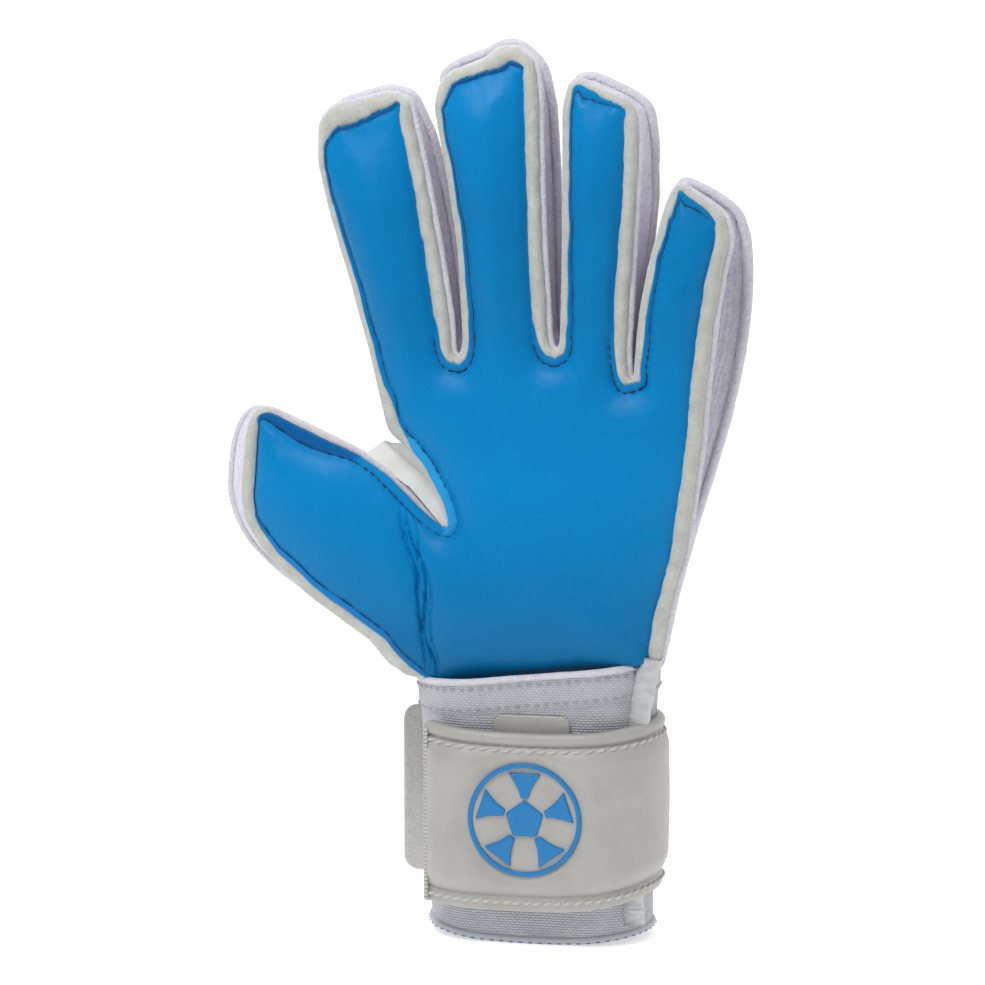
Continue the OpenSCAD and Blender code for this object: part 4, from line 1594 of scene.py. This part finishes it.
def rounded_panel(corners, face_y):
    """A raised panel with soft edges, from its corners."""
    outline = resampled(corners, 0.5)
    outline = soften(outline if area(outline) > 0 else outline[::-1], 1.2)
    flat, faces = fill(outline, [0.2, 0.5, 0.9], 0.9)
    d, _ = distance_to(outline, flat)
    return closed_layer(flat, faces, face_y - 0.15 + 0.6 * rounding(d, 0.6), face_y + 1.4)


def rounded_box(low, high, radius):
    """A rectangle in x and z with round corners."""
    turn = np.linspace(0, math.pi / 2, 7)
    x_low, x_high, z_low, z_high = low[0] + radius, high[0] - radius, low[2] + radius, high[2] - radius
    centres = [(x_high, z_high), (x_low, z_high), (x_low, z_low), (x_high, z_low)]
    corners = []
    for k, (x, z) in enumerate(centres):
        angle = turn + k * math.pi / 2
        corners.append(np.c_[x + radius * np.cos(angle), z + radius * np.sin(angle)])
    return resampled(np.concatenate(corners), 1.3)


PLATE_SEAM = 2.8


def plate(name, node, body, skin, radius, puff=0.4, round_by=0.9, grow=(0, 0, 0), forward=0.0,
          thread=None):
    """A flat tape or tab where its CAD node is, with rounded and slightly puffed faces.

    It may grow to its left, to its right and upwards, and move towards the palm's side."""
    low, high = [corner.copy() for corner in box_mm(node)]
    low[0] -= grow[0]
    high[0] += grow[1]
    high[2] += grow[2]
    outline = rounded_box(low, high, radius)
    flat, faces = fill(outline, [0.3, 0.8, 1.6, PLATE_SEAM], 2.4)
    d, _ = distance_to(outline, flat)
    off = np.minimum(round_by * rounding(d, round_by), 0.48 * (high[1] - low[1]))
    swell = puff * (1 - np.exp(-np.clip(d - 3, 0, None) / 2.5)) - 0.25 * bell(d - PLATE_SEAM, 0.5)
    lumps = rough(at_depth(flat), 8, 0.25) * (d > 2)
    front = low[1] + off - swell * 0.5 - lumps - forward
    rear = high[1] - off + swell + lumps - forward
    piece = wrist_piece(name, closed_layer(flat, faces, front, rear), skin, body, [node])
    if thread:
        path = at_depth(inset(outline, PLATE_SEAM)[0], high[1] - 0.1)
        row = stitches(np.r_[path, path[:1]], 2.6, 0.8, 0.3, Y)
        wrist_piece(name + "_stitches", row, thread, body)
    return piece


def tab_hinge():
    """The strip that the pull tab folds on, sewn under the flap's end."""
    flap_end, flap_start = box_mm("strap_flap")
    low, tab_end = box_mm("pull_tab")
    x = np.linspace(flap_end[0] + 3, tab_end[0] - 3, 9)
    y = 0.5 * (flap_end[1] + flap_start[1])
    bottom, top = low[2] + 2.4, tab_end[2] - 2.4
    edge = np.array([(-0.7, bottom + 0.6), (-0.5, bottom), (0.5, bottom), (0.7, bottom + 0.6),
                     (0.7, top - 0.6), (0.5, top), (-0.5, top), (-0.7, top - 0.6)])
    base = np.c_[x, np.full(len(x), y), 0 * x]
    verts, faces = sweep(base, np.tile(Y, (len(x), 1)), Z, edge[:, 0], edge[:, 1], loop=False)
    piece = mesh_object("tab_hinge_strip", verts, faces, [LEATHER])
    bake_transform(piece)


elastic()
hem()
slit_tube()
wrist_roll()
panel = strap()
emblem()
flap = plate("closing_flap", "strap_flap", "flap", LEATHER, 4, 0.8, 1.2, thread=WHITE_THREAD)
plate("flap_hook_tape", "flap_hooks", "flap", HOOKS, 2, 0.0, 0.3)
plate("wrist_loop_tape", "loop_patch", "cuff", PILE, 2, 0.0, 0.5)
plate("hook_tab_top", "hook_patch", "cuff", LEATHER, 3.2, 0.1, 0.5, (2.6, 2.6, 3.6), 1.3)
tab = plate("pull_tab_pile", "pull_tab", "tab", PILE, 5, 0.9, 1.3)
tab_hinge()


# ---- Stage, light and camera ----

TARGET = np.array([-15.9, -4.0, 142.5])
DISTANCE = 1300.0
AZIMUTH, ELEVATION = math.radians(12), math.radians(8)


FLOOR_HALF = 60.0


def floor():
    """A wide pale floor under the cuff, which glows softly under the glove and behind it."""
    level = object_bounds()[0][2]
    corners = [(-FLOOR_HALF, -FLOOR_HALF, level), (FLOOR_HALF, -FLOOR_HALF, level),
               (FLOOR_HALF, FLOOR_HALF, level), (-FLOOR_HALF, FLOOR_HALF, level)]
    mesh = mesh_data("floor", corners, [(0, 1, 2, 3)])
    ground = linked("floor", mesh)
    s = Shader("floor_white", 0.9, Specular_IOR_Level=0.1)
    reach = map_range(s.tree, s.coordinate("Y"), (-0.7, -0.1))
    s.colour(s.ramp(reach, [(0, (168, 168, 169)), (1, (244, 244, 244))]))
    feed(s.tree, s.ramp(reach, [(0, (0, 0, 0)), (1, (186, 186, 186))]), s.surface["Emission Color"])
    s.surface["Emission Strength"].default_value = 1.0
    mesh.materials.append(s.made)
    ground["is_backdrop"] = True


def aimed(name, data, azimuth, elevation, distance):
    """A light or a camera aimed at the glove. Azimuth 0 is in front of the palm."""
    away = Vector((math.sin(azimuth) * math.cos(elevation),
                   -math.cos(azimuth) * math.cos(elevation), math.sin(elevation)))
    made = linked(name, data)
    made.location = Vector(TARGET * MM) + away * distance
    made.rotation_euler = away.to_track_quat("Z", "Y").to_euler()
    return made


def area_light(name, azimuth, elevation, distance, size, power):
    """A soft square light."""
    data = bpy.data.lights.new(name, "AREA")
    data.size = size
    data.energy = power
    aimed(name, data, math.radians(azimuth), math.radians(elevation), distance)


def camera():
    """The photograph's view: a little to the right of the palm and a little above it."""
    data = bpy.data.cameras.new("camera")
    data.sensor_width = 36
    data.lens = 146.2
    data.clip_end = 300
    bpy.context.scene.camera = aimed("camera", data, AZIMUTH, ELEVATION, DISTANCE * MM)


def studio():
    """A white room that is brighter behind the glove and overhead than in front of it."""
    world = bpy.data.worlds.new("studio")
    world.use_nodes = True
    tree = world.node_tree
    place = shader_node(tree, "TexCoord", {}).outputs["Generated"]
    split = shader_node(tree, "SeparateXYZ", {"Vector": place}).outputs
    behind = map_range(tree, split["Y"], (-0.2, 0.7), (0.24, 1.12))
    overhead = map_range(tree, split["Z"], (0, 1), (0, 0.26))
    total = shader_node(tree, "Math", {0: behind, 1: overhead}).outputs[0]
    background = tree.nodes["Background"].inputs
    background["Color"].default_value = (1, 1, 1, 1)
    feed(tree, total, background["Strength"])
    bpy.context.scene.world = world


floor()
camera()
area_light("key", -16, 54, 0.75, 0.3, 3.5)
area_light("fill", 50, 0, 1.6, 1.0, 0.35)
studio()
bpy.context.scene.view_settings.view_transform = "Standard"
